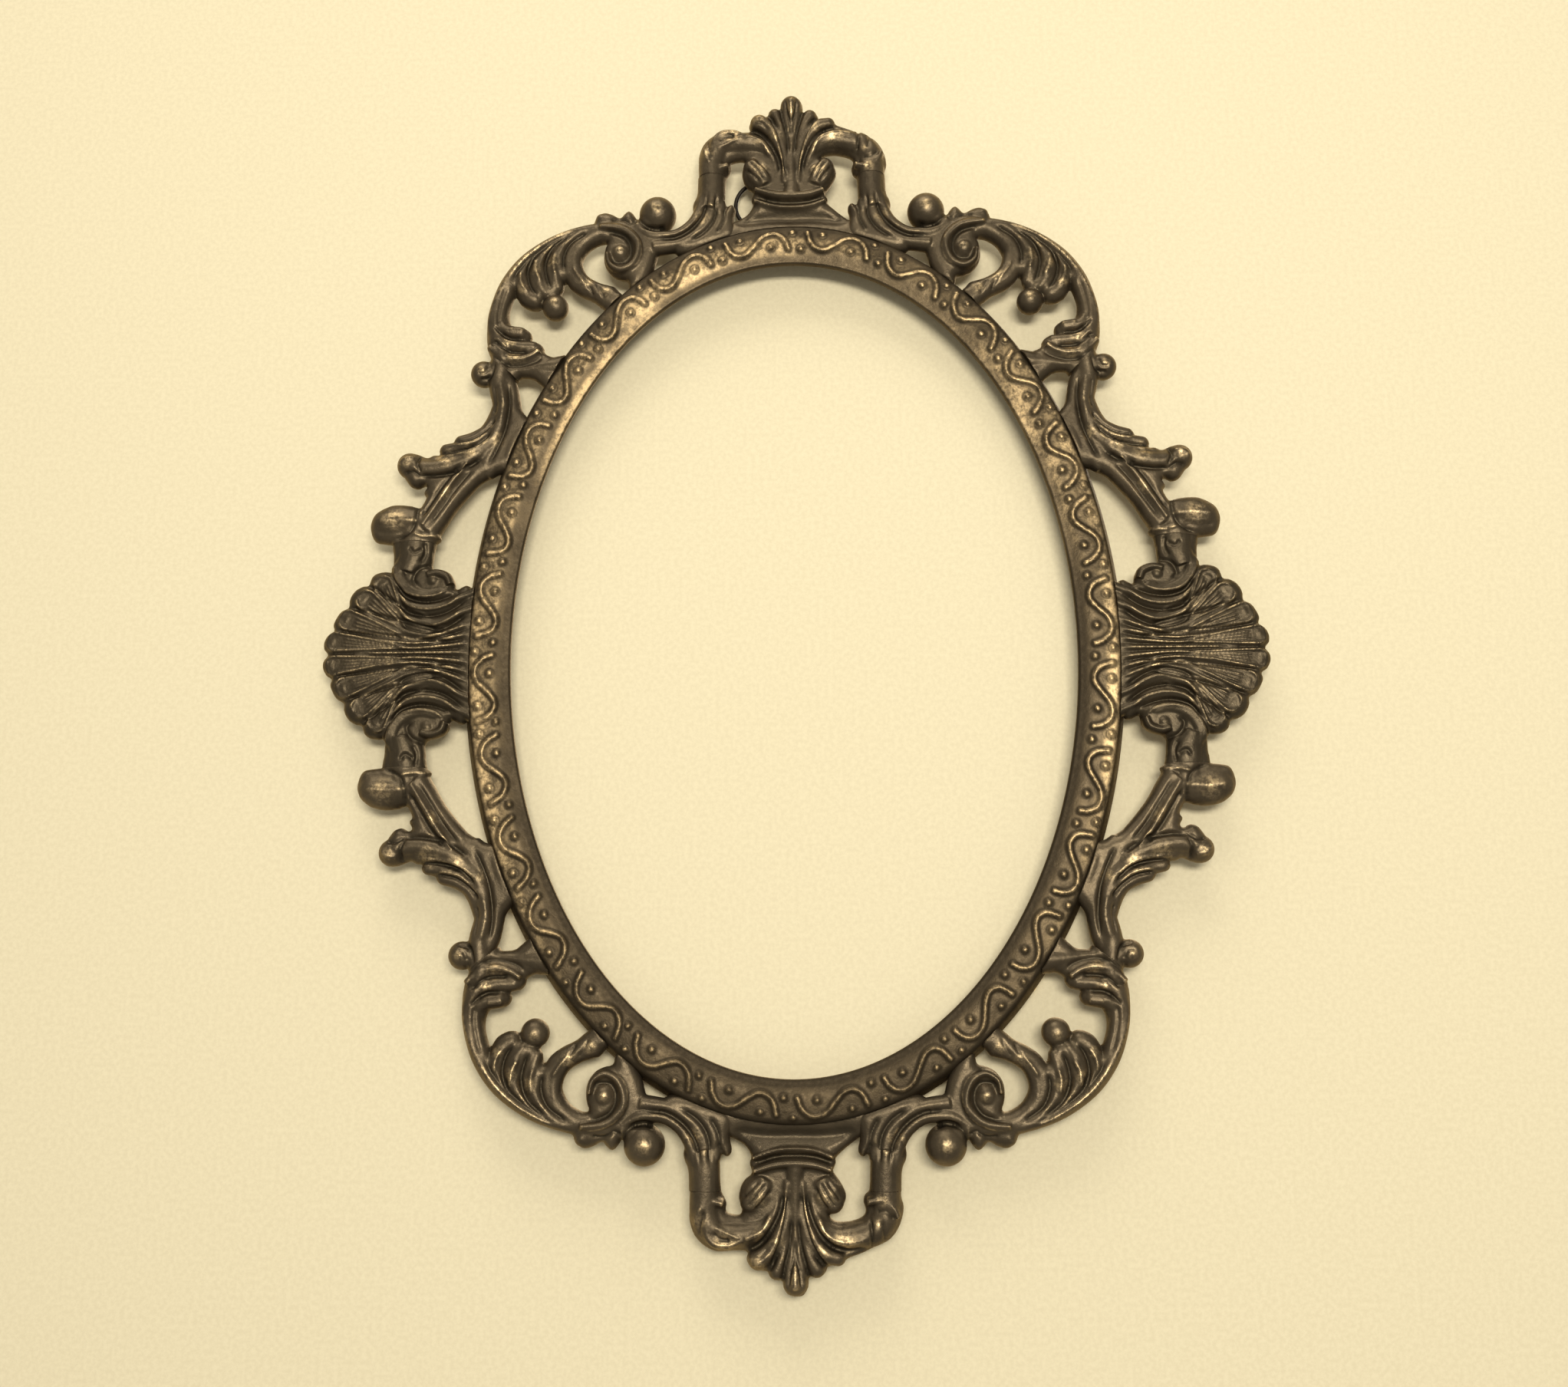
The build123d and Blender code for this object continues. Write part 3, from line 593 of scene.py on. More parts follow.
crest_parts = [
    pillow(crest_right + crest_left, front=1.9),
    pillow([(-14.4, 93), (-14.2, 98.6), (-11.6, 100.4), (-9.8, 101.6), (-8.8, 103.4), (-8.6, 105.8),
            (-4, 105.2), (0, 105), (4, 105.2), (7.6, 105.9), (8.1, 103.9), (9.9, 102.1), (12.4, 100.2),
            (14.2, 98.6), (14.4, 93)], mid=3.4, edge=2.6),
    leaf([(0, 104), (0, 112), (0, 119), (0, 123.4), (0, 127.4)], [2.4, 1.5, 1.1, 1.5, 2.5], 4.3),
    leaf([(1, 113), (1.7, 118.6), (2.9, 122.4), (4.2, 124.7)], [0.8, 1.2, 1.6, 1.75], 4.3),
    leaf([(1.5, 108), (2, 114), (3.5, 118.8), (5.8, 121.7), (8.4, 122.6)], [0.9, 1.3, 1.7, 1.9, 1.6], 4.7),
    tube([(2.8, 109.5), (3.7, 114.2), (5.5, 117.3), (8.6, 118.8), (12.2, 118.5), (15.8, 117.4), (17.9, 114.4),
          (18, 110), (18, 105)], [1, 1.6, 2.2, 2.5, 2.7, 2.9, 3, 3, 3], mid=4.2),
    leaf([(-1, 113), (-1.6, 118.6), (-2.6, 122.6), (-3.7, 125.2)], [0.8, 1.1, 1.5, 1.65], 4.3),
    leaf([(-1.5, 108), (-2, 114), (-3.4, 118.6), (-5.3, 121.4), (-7.2, 122.8)], [0.9, 1.3, 1.7, 2, 2.2], 4.9),
    tube([(-2.8, 109.5), (-3.8, 114), (-5.7, 116.8), (-9, 118), (-13, 118.3), (-16.2, 117.6), (-17.9, 114.6),
          (-18, 110), (-18, 105)], [1, 1.6, 2.2, 2.5, 2.7, 2.9, 3, 3, 3], mid=4.2),
    tube([(-16.9, 115.8), (-17.4, 118), (-15.8, 119.8), (-13, 120), (-10.4, 119.2)],
         [0.5, 0.8, 0.9, 0.9, 0.5], mid=5.7, depth=1.5),
    tube([(14.3, 111.9), (17, 111.6), (19.4, 113), (20.4, 115)], [0.9, 1, 0.9, 0.6], mid=5.2, depth=1.9),
    tube([(-14.2, 112.4), (-16.4, 111.9), (-19.6, 112.6)], [0.9, 1, 0.8], mid=4.8, depth=1.9),
    leaf([(5.2, 107.6), (6.4, 110.2), (7.4, 112)], [2, 3, 2.4], 4.3),
    leaf([(-5.8, 107.6), (-7.2, 110), (-8.6, 112)], [2, 3, 2.4], 4.3),
    tube([(-8.3, 106.1), (-4, 104.9), (0, 104.6), (4, 104.9), (7.3, 105.9)], [0.7, 0.9, 0.9, 0.9, 0.7],
         mid=5.4, depth=1.7),
    tube([(-8.4, 103.6), (-4, 102.1), (0, 101.7), (4, 102.1), (7.7, 103.5)], [0.6, 0.8, 0.8, 0.8, 0.6],
         mid=5, depth=1.5),
]
crest_lines = [
    ([(1.4, 128.6), (1.1, 125.6), (0.3, 122.6), (0.2, 119)], -0.5, 0.36),
    ([(-1.4, 128.4), (-1.1, 125.6), (-0.3, 122.6), (-0.2, 119)], -0.5, 0.36),
    ([(0, 128.6), (0, 126), (0, 123.6)], 0.3, 0.6),
    ([(2.8, 126.4), (2, 123.6), (1.1, 120), (0.6, 115)], -0.55, 0.38),
    ([(-2.5, 126.8), (-1.9, 123.8), (-1, 120), (-0.6, 115)], -0.55, 0.38),
    ([(6.3, 124.5), (4.5, 122.3), (2.8, 118.8), (1.6, 114.4), (1.1, 109.6)], -0.65, 0.42),
    ([(-5.1, 125.2), (-3.9, 122.4), (-2.6, 118.8), (-1.6, 114.4), (-1.1, 109.6)], -0.65, 0.42),
    ([(14.6, 120.6), (11, 121.3), (7.8, 120.6), (5.5, 118.8), (3.9, 116.2), (2.8, 113), (2.3, 109.6)],
     -0.6, 0.45),
    ([(-9.5, 121.3), (-6.6, 119.6), (-4.6, 117), (-3, 113.6), (-2.3, 109.6)], -0.65, 0.45),
    ([(4.4, 114), (5.9, 117.6), (8.4, 119.3), (11.4, 119.6), (14.6, 118.7)], 0.35, 0.5),
    ([(-4.6, 114), (-6.2, 117), (-8.4, 118.4), (-10.4, 119)], 0.35, 0.5),
    ([(-3, 118), (-4.6, 121.2), (-6.6, 123.2), (-8, 123.8)], 0.25, 0.6),
    ([(-8.7, 122.2), (-6.8, 122), (-5.2, 120.4)], -0.25, 0.35),
    ([(-16.2, 116.4), (-14.4, 117.2), (-12.4, 118.2), (-10.6, 118.9)], 0.25, 0.4),
    ([(-16.2, 117.6), (-14.6, 118.8), (-12.6, 119)], -0.4, 0.5),
    ([(-18.9, 118.4), (-18.7, 116.2), (-17.8, 113.4)], -0.35, 0.4),
    ([(-19.8, 116.6), (-19.4, 114.6), (-18.4, 112.6)], 0.3, 0.5),
    ([(15.2, 121.2), (15.2, 118), (14.8, 115)], -0.55, 0.32),
    ([(17.8, 119.4), (17.5, 117.2), (17, 115.4)], -0.35, 0.4),
    ([(15.8, 113.6), (18, 113.6), (19.6, 115.2)], -0.35, 0.45),
    ([(3.9, 109), (5.2, 111.6), (6.6, 113.6)], -0.4, 0.32),
    ([(5, 108.2), (6.6, 110.8), (8.2, 113)], -0.4, 0.32),
    ([(6.4, 107.8), (7.8, 109.8), (9.2, 111.8)], -0.4, 0.32),
    ([(-4.6, 109.6), (-6.2, 111.8), (-8, 113.6)], -0.4, 0.32),
    ([(-5.6, 108.4), (-7.6, 110.8), (-9.6, 112.9)], -0.4, 0.32),
    ([(-7, 107.8), (-8.8, 109.6), (-10.4, 111.2)], -0.4, 0.32),
    ([(-7.9, 104.7), (-4, 103.4), (0, 103.1), (4, 103.4), (7.6, 104.6)], -0.4, 0.4),
    ([(-13.6, 98.6), (-6, 99.4), (0, 99.4), (6, 99.4), (13.6, 98.6)], -1.1, 1.5),
]
crest_rubs = [(-7.6, 123.2, 1.7), (-13.6, 119.6, 2.4), (-7, 118.4, 1.6), (9.6, 119.6, 2.6), (0, 126.2, 1.1),
              (-7.2, 111.2, 2), (6.3, 111, 2), (-3.4, 119.4, 1.4), (5.4, 121.2, 1.5), (16.4, 115.8, 0.9),
              (-18.8, 115.4, 1.4), (17.4, 111.4, 1.3)]

# Corner scroll: foot with shoulder and volute, C-shaped body with its leaf

corner_foot = [
    (14.9, 114), (21.2, 114), (21.2, 110), (21.4, 106), (22.3, 103.6), (22.2, 100.6), (23, 98.5),
    (25, 96.6), (28, 95.9), (30.2, 96.4), (33.5, 98.2), (35.4, 101.2), (36.7, 102.3), (37.9, 101.4),
    (38.7, 100.6), (40.5, 101.5), (42.3, 101.9), (43.9, 101), (44.6, 99.3), (44, 96.6), (41.6, 94.9),
    (42, 93), (42.2, 91), (41.8, 88.8), (40.3, 86.8), (38.5, 85.9), (36.8, 85.4), (36, 83), (33, 84),
    (31, 88), (30, 91.4), (29.2, 92.6), (28, 93), (26.5, 92.5), (25.4, 91.5), (22, 91.5), (13.1, 94.8),
    (13, 99.8), (12.6, 102.2), (13.4, 103.5), (14.4, 103), (15, 102.6), (14.9, 108),
]
corner_web = [
    (38, 97.5), (41, 99.3), (45, 99.2), (50, 97.3), (55, 94.7), (60, 90.8), (63, 87.3), (65, 84.3),
    (66.5, 81), (67.5, 78), (68, 75), (68, 72), (67.6, 69), (66.9, 67), (66.3, 63), (65.8, 61),
    (63.4, 60.5), (61.2, 61.2), (60, 62.7), (57.5, 62.4), (56, 61.3), (53, 59.5), (48.5, 65), (51.3, 67.5),
    (53, 67.4), (54.8, 68.3), (55, 69.4), (55.9, 70.5), (57.2, 70.8), (58.8, 70.5), (57.9, 71.6),
    (57.9, 72.8), (58.9, 73.9), (60.5, 74.3), (62, 74.4), (62.8, 75.6), (63.1, 77.5), (62.8, 80),
    (62.2, 82.2), (61.8, 83), (61.5, 81.5), (60.4, 79.9), (58.6, 78.9), (56.8, 78.8), (55.7, 79.6),
    (55.2, 80.6), (53.4, 80.8), (51.9, 81.9), (51.2, 83.6), (50.7, 85.3), (49.4, 83.6), (47, 81.9),
    (44.5, 80.7), (42.3, 79), (39.5, 77), (37, 80), (39.2, 83.6), (40.5, 84.2), (43, 85), (45.5, 86.5),
    (46.8, 88.5), (46.9, 90.5), (45.5, 93), (43, 94.6), (40, 95),
]
neck_parts = [
    tube([(65.3, 73), (64.2, 68.6), (64.4, 65), (64.7, 60.8), (63.7, 56.5)],
         [2.1, 2.5, 2.6, 2.4, 2.4], mid=4.2),
]
corner_parts = neck_parts + [
    pillow(corner_foot), pillow(corner_web),
    tube([(17.9, 114), (18, 106), (18.4, 102)], [3, 3, 2.6], mid=4.1),
    tube([(40, 97.6), (45, 97.4), (52.5, 94.6), (58.8, 90.2), (62.8, 85.2), (64.9, 80), (65.6, 75),
          (65, 70.5)], [1.2, 1.6, 2, 2.2, 2.2, 2.2, 2.3, 2.5], mid=4.2),
    tube([(41, 98.6), (42.6, 99.8), (43.6, 99.6)], [1, 1.7, 1.3], mid=4.2),
    leaf([(35.4, 98.6), (36.7, 101.2)], [1.2, 0.9]),
    tube([(43, 97.6), (38, 96.8), (34.9, 94.2), (34.4, 91.4), (35.6, 88.6), (38.2, 87.2), (40.6, 88.6),
          (41.2, 91.2)], [0.7, 0.9, 0.9, 0.8, 0.8, 0.8, 0.7, 0.6], mid=5.4, depth=1.7),
    tube([(44.5, 96), (47.8, 93.6), (48.8, 90), (47.6, 86.2), (44.4, 83.4), (38.5, 80.6)],
         [1.2, 1.7, 1.8, 1.8, 1.7, 1.7], mid=4.1),
    leaf([(47, 96.6), (51, 93.4), (52.9, 89.6), (52.9, 86.2), (52.2, 83.6)], [1.2, 1.6, 1.7, 1.6, 1.2], 4.5),
    leaf([(51, 95.2), (55.2, 91.6), (57, 87.8), (56.4, 84.4), (55, 82.2)], [1.3, 1.7, 1.8, 1.7, 1.3], 4.6),
    leaf([(55.2, 92.8), (59.2, 89.2), (60.6, 85.8), (59.8, 82.6), (58, 80.8)],
         [1.3, 1.7, 1.7, 1.6, 1.3], 4.5),
    tube([(19.8, 105), (21, 100.6), (23, 97.6), (26.4, 95.6), (31, 95.6), (35, 97.6)],
         [1.2, 1.4, 1.5, 1.5, 1.6, 1.2], mid=4.7),
    tube([(17.6, 104.4), (18.4, 99.6), (20.8, 96.4), (25, 93.9), (31, 93)],
         [1.2, 1.4, 1.5, 1.5, 1.8], mid=4.5),
    tube([(15.8, 104), (15.9, 99.6), (17.6, 96.4), (20.4, 94)], [1, 1.3, 1.4, 1.3], mid=4.3),
    leaf([(18, 95.5), (15, 98.8), (13.6, 101.9)], [1.3, 1.4, 0.9], 4),
    tube([(30.6, 100), (33.6, 98.4), (37.4, 97.4)], [2.8, 2.2, 1.4], mid=4),
    leaf([(66, 76), (63.6, 73.2), (60.2, 72.5)], [1.4, 1.8, 1.7], 4.6),
    leaf([(66.2, 72.6), (61.8, 69.8), (57.4, 69.4)], [1.5, 1.7, 1.5], 4.5),
    tube([(67, 69.4), (64.4, 67), (61, 66.2), (58, 66.8), (55.8, 68.2)], [0.9, 1, 1, 0.9, 0.8],
         mid=5.3, depth=1.7),
    tube([(63, 64.4), (58.6, 64.4), (54.6, 64.6), (50, 65)], [1.6, 1.8, 2.2, 2.8], mid=4),
    ball(30.2, 101.2, 4.2), ball(38.4, 91.5, 2.2, mid=4.9), ball(52.8, 79.2, 2.95),
]
corner_lines = [
    ([(43.5, 98.5), (38.4, 97.7), (35, 95.6), (33.6, 92), (34.5, 88.6), (37.4, 86.6)], 0.3, 0.45),
    ([(42, 96.6), (38, 95.4), (36.2, 93.4), (36, 91), (37.2, 89.2), (39.4, 89.2), (40, 90.6)], -0.55, 0.5),
    ([(45, 98.3), (50, 96.5), (55, 93.9), (59.6, 90.3), (62.4, 86.9), (64.3, 83.7), (65.8, 80.5),
      (66.8, 77.5), (67.2, 74.5), (67.2, 71.5)], 0.3, 0.5),
    ([(47.5, 97.4), (52.6, 94.6), (57.4, 91.2), (60.8, 87.2), (62.6, 84)], -0.5, 0.42),
    ([(63.4, 83.4), (64.4, 80), (65, 76.6), (64.8, 73.4)], -0.35, 0.5),
    ([(45.5, 96.6), (49.4, 93.8), (51, 90.2), (50.7, 87)], -0.65, 0.42),
    ([(49.4, 96), (53.4, 92.6), (55, 88.8), (54.6, 85.4), (53.4, 82.6)], -0.65, 0.42),
    ([(53.4, 94), (57.4, 90.6), (58.9, 87), (58.2, 83.5), (56.4, 81.2)], -0.65, 0.42),
    ([(52.9, 91.4), (53.2, 88.6), (52.6, 86)], 0.3, 0.4),
    ([(57.2, 90), (57, 87), (55.8, 84.4)], 0.3, 0.4),
    ([(60.7, 87.2), (60.2, 84.2), (58.6, 82)], 0.3, 0.4),
    ([(46.2, 84.9), (44.9, 83), (44.2, 81.2)], -0.35, 0.35),
    ([(43.6, 84), (42.4, 82.2), (41.6, 80.4)], -0.3, 0.35),
    ([(48.9, 88), (47, 85.2), (45, 83.6)], 0.3, 0.4),
    ([(18.7, 105), (19.7, 100.6), (22, 97.2), (25.6, 94.9), (30, 94.4)], -0.6, 0.42),
    ([(16.7, 105), (17.2, 99.8), (19.2, 96.4), (22.6, 94)], -0.6, 0.42),
    ([(15, 102), (15.2, 99), (16.8, 95.8)], -0.5, 0.4),
    ([(66, 73.9), (63, 71.4), (59.6, 71)], -0.6, 0.4),
    ([(66.2, 70.6), (62.4, 68.2), (58, 67.9)], -0.6, 0.4),
    ([(66.4, 67.2), (63, 64.9), (60, 64.6), (56.6, 65.6), (54.6, 67.2)], -0.45, 0.45),
    ([(62.5, 73.2), (60.4, 73.3), (59.2, 72.8)], 0.2, 0.5),
    ([(27.6, 97.8), (30.4, 96.9), (33.2, 98), (34.8, 100.6)], -0.6, 0.5),
    ([(36.2, 98.6), (38.6, 99.6), (40.6, 99.2)], -0.5, 0.4),
    ([(34.6, 99.2), (36.2, 98.4), (37.6, 99.6)], -0.4, 0.4),
]
corner_rubs = [(30.1, 101.3, 1.5), (52.7, 79.7, 1.1), (38.2, 91.8, 1), (53.4, 89.4, 1.5), (57.2, 87.4, 1.2),
               (60, 83, 1.2), (45.6, 84.6, 1.6), (41.4, 82, 1.4), (61, 66.6, 2), (20.2, 99.4, 1.8),
               (62.6, 70.2, 1.6)]

# Side strap: stem, stepped leaf with its bud, diagonal strap and knob

strap_web = [
    (61.7, 63.5), (61.4, 67), (62, 70), (67.4, 70), (66.9, 67), (66.3, 63), (65.8, 61), (65.7, 58.5),
    (66.3, 56), (67.2, 53.5), (68.3, 51.5), (69.6, 50.2), (71.5, 49.5), (73.4, 49), (74.4, 48),
    (74.3, 47.2), (75.6, 47.1), (77, 46.8), (77.6, 45.7), (77.3, 44.8), (78.6, 44.8), (80, 44.2),
    (81.8, 44.9), (83.5, 45.3), (85.2, 44.9), (86.4, 43.4), (86.3, 41.5), (85.2, 40), (84.3, 38.6),
    (83.4, 37.6), (82, 37.2), (80.6, 37.9), (79.9, 37.4), (80.6, 35.9), (80, 35), (81.4, 32.5), (83, 33.2),
    (86, 33.4), (89, 32.7), (91, 31), (91.9, 29), (91.5, 26.5), (90.4, 25), (88, 24.6), (86.5, 24),
    (86.5, 20), (77.8, 20), (77.6, 24.2), (76.3, 25.5), (76.7, 27.5), (74, 31.6), (71.5, 35.3), (70, 36.9),
    (67.5, 38.7), (64.6, 40.2), (60, 42), (56.6, 50), (58.4, 53.4), (59.6, 55.2), (60.1, 57.8),
    (60.6, 60.4),
]
shell_neck = tube([(81, 30), (81.9, 27.2), (82.1, 24.6), (82.2, 21.4), (83.2, 18)], [2.6, 3.4, 3.7, 3.7, 3],
                  mid=3.9)
strap_parts = neck_parts + [
    pillow(strap_web), shell_neck,
    tube([(64.6, 60.8), (63.7, 56.5), (64, 52), (66, 47.5), (69, 44.2)], [2.2, 2.2, 2.3, 2.2, 1.8], mid=4.2),
    tube([(61.3, 58), (61.6, 52.6), (63.2, 47), (65, 42.4), (66.8, 40)], [0.9, 1.7, 1.9, 1.8, 1.2], mid=4),
    tube([(59.6, 53.2), (60.2, 49.2), (61.6, 44.8), (63.4, 41.4)], [0.8, 1.8, 2, 1.3], mid=4.1),
    leaf([(64.2, 55.4), (66.4, 51), (69.6, 48.9), (73, 48.1)], [1, 1.4, 1.3, 1], 4.2),
    leaf([(64.6, 52), (68, 47.6), (72, 46.5), (76, 46)], [1, 1.5, 1.4, 1.1], 4.5),
    tube([(65.4, 48.6), (69.4, 44.2), (74, 42), (79, 41.2), (83, 41.8)], [1.6, 2.4, 2.5, 2.4, 2.2], mid=4.3),
    tube([(65.6, 43), (70, 39.2), (74.6, 34), (77.4, 29.8), (79.2, 27.2)], [1.6, 2, 2.2, 2.4, 2.6], mid=3.9),
    tube([(70.6, 42), (73.6, 38.4), (77, 33), (80, 28.2)], [0.6, 0.75, 0.75, 0.7], mid=5.9, depth=1.25),
    leaf([(79, 29.6), (83, 29.5), (86.4, 29.3), (88.2, 29)], [2.4, 3.6, 4.1, 3.5], 4.1),
    tube([(65.2, 62.9), (67.6, 63.5)], [1.5, 2], mid=4.2),
    ball(68.3, 63.6, 2.95), ball(83.8, 42.4, 2.9), ball(82.4, 38.8, 1.5),
]
strap_lines = [
    ([(64.8, 52.6), (66.8, 50), (69.8, 48), (74, 47.1)], -0.65, 0.4),
    ([(65.6, 49.6), (68.4, 46.6), (72, 45.2), (77, 44.6)], -0.65, 0.4),
    ([(64.8, 51.4), (67, 49.2), (70, 47.2), (74, 46.4)], 0.3, 0.4),
    ([(66, 48), (69, 45.6), (72.4, 44.3), (77, 43.8)], 0.4, 0.4),
    ([(67.4, 43.4), (72, 40.5), (77, 39.4), (81.6, 39.4)], -0.6, 0.45),
    ([(62.5, 61), (61.9, 56), (62.7, 50), (64.8, 44.6), (66.4, 41.6)], -0.6, 0.42),
    ([(64.2, 61), (63.3, 56), (63.9, 51.6)], 0.25, 0.5),
    ([(65.4, 60), (64.9, 56), (65.4, 53.4)], -0.3, 0.4),
    ([(71.8, 42), (75.2, 38.4), (78.4, 33.4), (81, 29)], -0.45, 0.4),
    ([(69.4, 41), (72.2, 37.6), (75.6, 32.4), (78.6, 27.8)], -0.45, 0.4),
    ([(80, 28.9), (85, 29.5), (90, 29.1)], 0.3, 0.9),
    ([(81.2, 32.6), (81.2, 29.6), (82.6, 26.6), (86.2, 24.8)], -0.55, 0.45),
    ([(76.6, 26), (79.6, 25.8), (82.2, 26.4)], 0.35, 0.45),
    ([(65.4, 65.4), (66.4, 62.2), (69, 61.4)], -0.5, 0.4),
    ([(66.8, 64.8), (67.6, 62.9), (69.4, 62.9)], -0.3, 0.35),
    ([(81.2, 44.6), (81.6, 42.2), (80.8, 39.8)], -0.55, 0.4),
    ([(82.2, 43.6), (84.6, 43.2), (85.8, 41.6)], 0.3, 0.5),
    ([(80.8, 39.2), (82.6, 40.4), (84.6, 40.2)], -0.4, 0.35),
]
strap_rubs = [(68.6, 63.6, 1.1), (84.2, 42.8, 1.3), (75.6, 43.4, 2.2), (70, 45, 1.8), (86, 29.6, 2.4),
              (75.2, 35.4, 2), (64.2, 47.6, 1.6)]

# Shell: fan of scalloped lobes between two necks that roll up as volutes

shell_upper = [
    (66, 11.5), (68.5, 14), (70.2, 15.2), (71.4, 14.8), (72.6, 14.3), (73, 16.3), (74.5, 17.8), (77, 18.5),
    (78, 19.6), (77.8, 22), (77.7, 29), (86.4, 29), (86.5, 21), (86.4, 18.4), (88, 18.4), (89.8, 18.1),
    (91, 17.2), (91.7, 15.5), (93.1, 15.1), (94.6, 14.1), (95.6, 12.4), (95.8, 10.6), (97.3, 9.6),
    (98.4, 8), (98.9, 6.6), (98.7, 5.3), (99.9, 4.4), (100.7, 2.8), (100.6, 1.3), (99.9, 0.35),
]
shell_outline = shell_upper + [(x, -z) for x, z in reversed(shell_upper)]
upper_shell = [
    shell_neck,
    spoke((72, 1), (97.6, 2.6), 1.1, 2.5, 3.9),
    spoke((72, 3), (95, 7.3), 1.2, 2.7, 4),
    spoke((72, 4.4), (91.4, 11.6), 1.1, 2.7, 3.9),
    spoke((76, 6), (88, 14.9), 1.1, 2.5, 4),
    leaf([(84, 21), (84.6, 17.4), (82.6, 14.2), (79, 12.9), (75.6, 13.6)], [1.5, 1.7, 1.7, 1.5, 1.3], 4.5),
    tube([(85.8, 19), (85, 14), (82.4, 11), (78.4, 10), (74.2, 10.8), (68, 13.6)],
         [0.9, 1.3, 1.4, 1.4, 1.3, 1.3], mid=4.5),
    tube([(85.9, 14.4), (84.6, 10), (81.8, 7.4), (78, 6.4), (73.8, 7.4), (66, 11)],
         [0.8, 1.2, 1.4, 1.4, 1.4, 1.4], mid=4.6),
    tube([(73.6, 15), (74.4, 16.8), (76.6, 17.6), (78.6, 17.2)], [0.9, 1, 1, 0.9], mid=4.9, depth=1.8),
    ball(77.4, 16, 1.6, mid=4.8),
]
shell_parts = [pillow(shell_outline, front=2)]
shell_parts += upper_shell + [flipped(m) for m in upper_shell]
upper_lines = [
    ([(73.4, 14.9), (75.6, 13), (79, 12.4), (82.8, 13.4), (85.2, 16.6), (86, 21)], 0.35, 0.4),
    ([(70.4, 13), (74, 10.5), (78, 9.6), (82, 10.4), (84.8, 13.4)], 0.35, 0.4),
    ([(69.6, 9.9), (74, 7), (78, 6), (82, 7.2), (84.8, 10.6), (85.8, 13.4)], 0.35, 0.4),
    ([(72, 13.2), (75.6, 11.7), (79.4, 11.3), (83, 12.5), (85.2, 15.4)], -0.65, 0.4),
    ([(69.4, 12), (74, 9), (78.4, 8.1), (82.6, 9.2), (85.2, 12.2)], -0.65, 0.4),
    ([(69, 8.8), (74, 5.6), (78.4, 4.6), (82.8, 5.8), (85.6, 9.2)], -0.6, 0.4),
    ([(77.8, 19.6), (80.4, 18.4), (81.6, 16.2), (80.4, 14.8)], -0.5, 0.4),
    ([(79.6, 23), (81.4, 22), (82.6, 23.2)], -0.45, 0.4),
    ([(79.4, 24.4), (79.2, 21.8), (80.2, 19.8)], -0.35, 0.4),
]
upper_lines.append(([(93, 0), (96.5, 0), (99.8, 0)], -0.3, 0.4))
for x0, z0, x1, z1 in ((72, 2.2, 98.4, 5.1), (74, 4.4, 96, 10.4), (82, 9, 91.8, 15.4)):
    upper_lines.append(([(x0, z0), ((x0 + x1) / 2, (z0 + z1) / 2), (x1, z1)], -0.75, 0.5))

# Each lobe: curled lip with two edges running back to the waist, hollow middle and three ribs
for x1, z1, r in ((97.6, 2.6, 2.5), (95, 7.3, 2.7), (91.4, 11.6, 2.7), (88, 14.9, 2.5)):
    away = math.atan2(z1, x1 - 74)
    waist = (81 + 0.12 * z1, 0.42 * z1)
    lip = [(x1 + 0.8 * r * math.cos(away + a), z1 + 0.8 * r * math.sin(away + a))
           for a in (-1.9, -1.3, -0.65, 0, 0.65, 1.3, 1.9)]
    for run in (lip, lip[::-1]):
        upper_lines.append((along(waist, run[0], (0.1, 0.55)) + run[:4], 0.42, 0.32))
    for first, low, wide in ((0.1, -0.22, 0.24), (0.4, -0.2, 0.32), (0.68, -0.2, 0.4)):
        upper_lines.append((along(waist, (x1, z1), (first, (first + 1.05) / 2, 1.05)), low, wide * r))
    for off in (-0.34, 0, 0.34):
        dx, dz = -off * r * math.sin(away), off * r * math.cos(away)
        upper_lines.append((along(waist, (x1 + dx, z1 + dz), (0.16, 0.5, 0.95)), 0.34, 0.27))
waist_ridges = [
    [(69, 0), (80, 0), (92, 0)],
    [(69, 2.1), (74.6, 1.45), (80, 1.05), (83, 1.15), (86.5, 1.5)],
    [(69, 4.2), (74.6, 2.9), (80, 2.1), (84, 2.25), (89.8, 2.95)],
    [(69, 6.4), (74.6, 4.3), (80, 3.15), (82.5, 3.3), (86, 4.4)],
]
waist_grooves = [
    [(69, 1.05), (74.6, 0.72), (80, 0.52), (86, 0.5), (92, 0.42)],
    [(69, 3.15), (74.6, 2.15), (80, 1.58), (84, 1.75)],
    [(69, 5.3), (74.6, 3.6), (80, 2.62), (84, 3.1)],
]
upper_lines += [(run, 0.45, 0.34) for run in waist_ridges]
upper_lines += [(run, -0.35, 0.3) for run in waist_grooves]
upper_rubs = [(77.6, 16.4, 1), (83.6, 12.6, 1.2)]
shell_rubs = upper_rubs + [(x, -z, r) for x, z, r in upper_rubs]
shell_lines = upper_lines + [([(x, -z) for x, z in p], high, wide) for p, high, wide in upper_lines]


def post_zone(spot):
    return abs(spot.x) > POST_ZONE_X and spot.z > POST_ZONE_Z


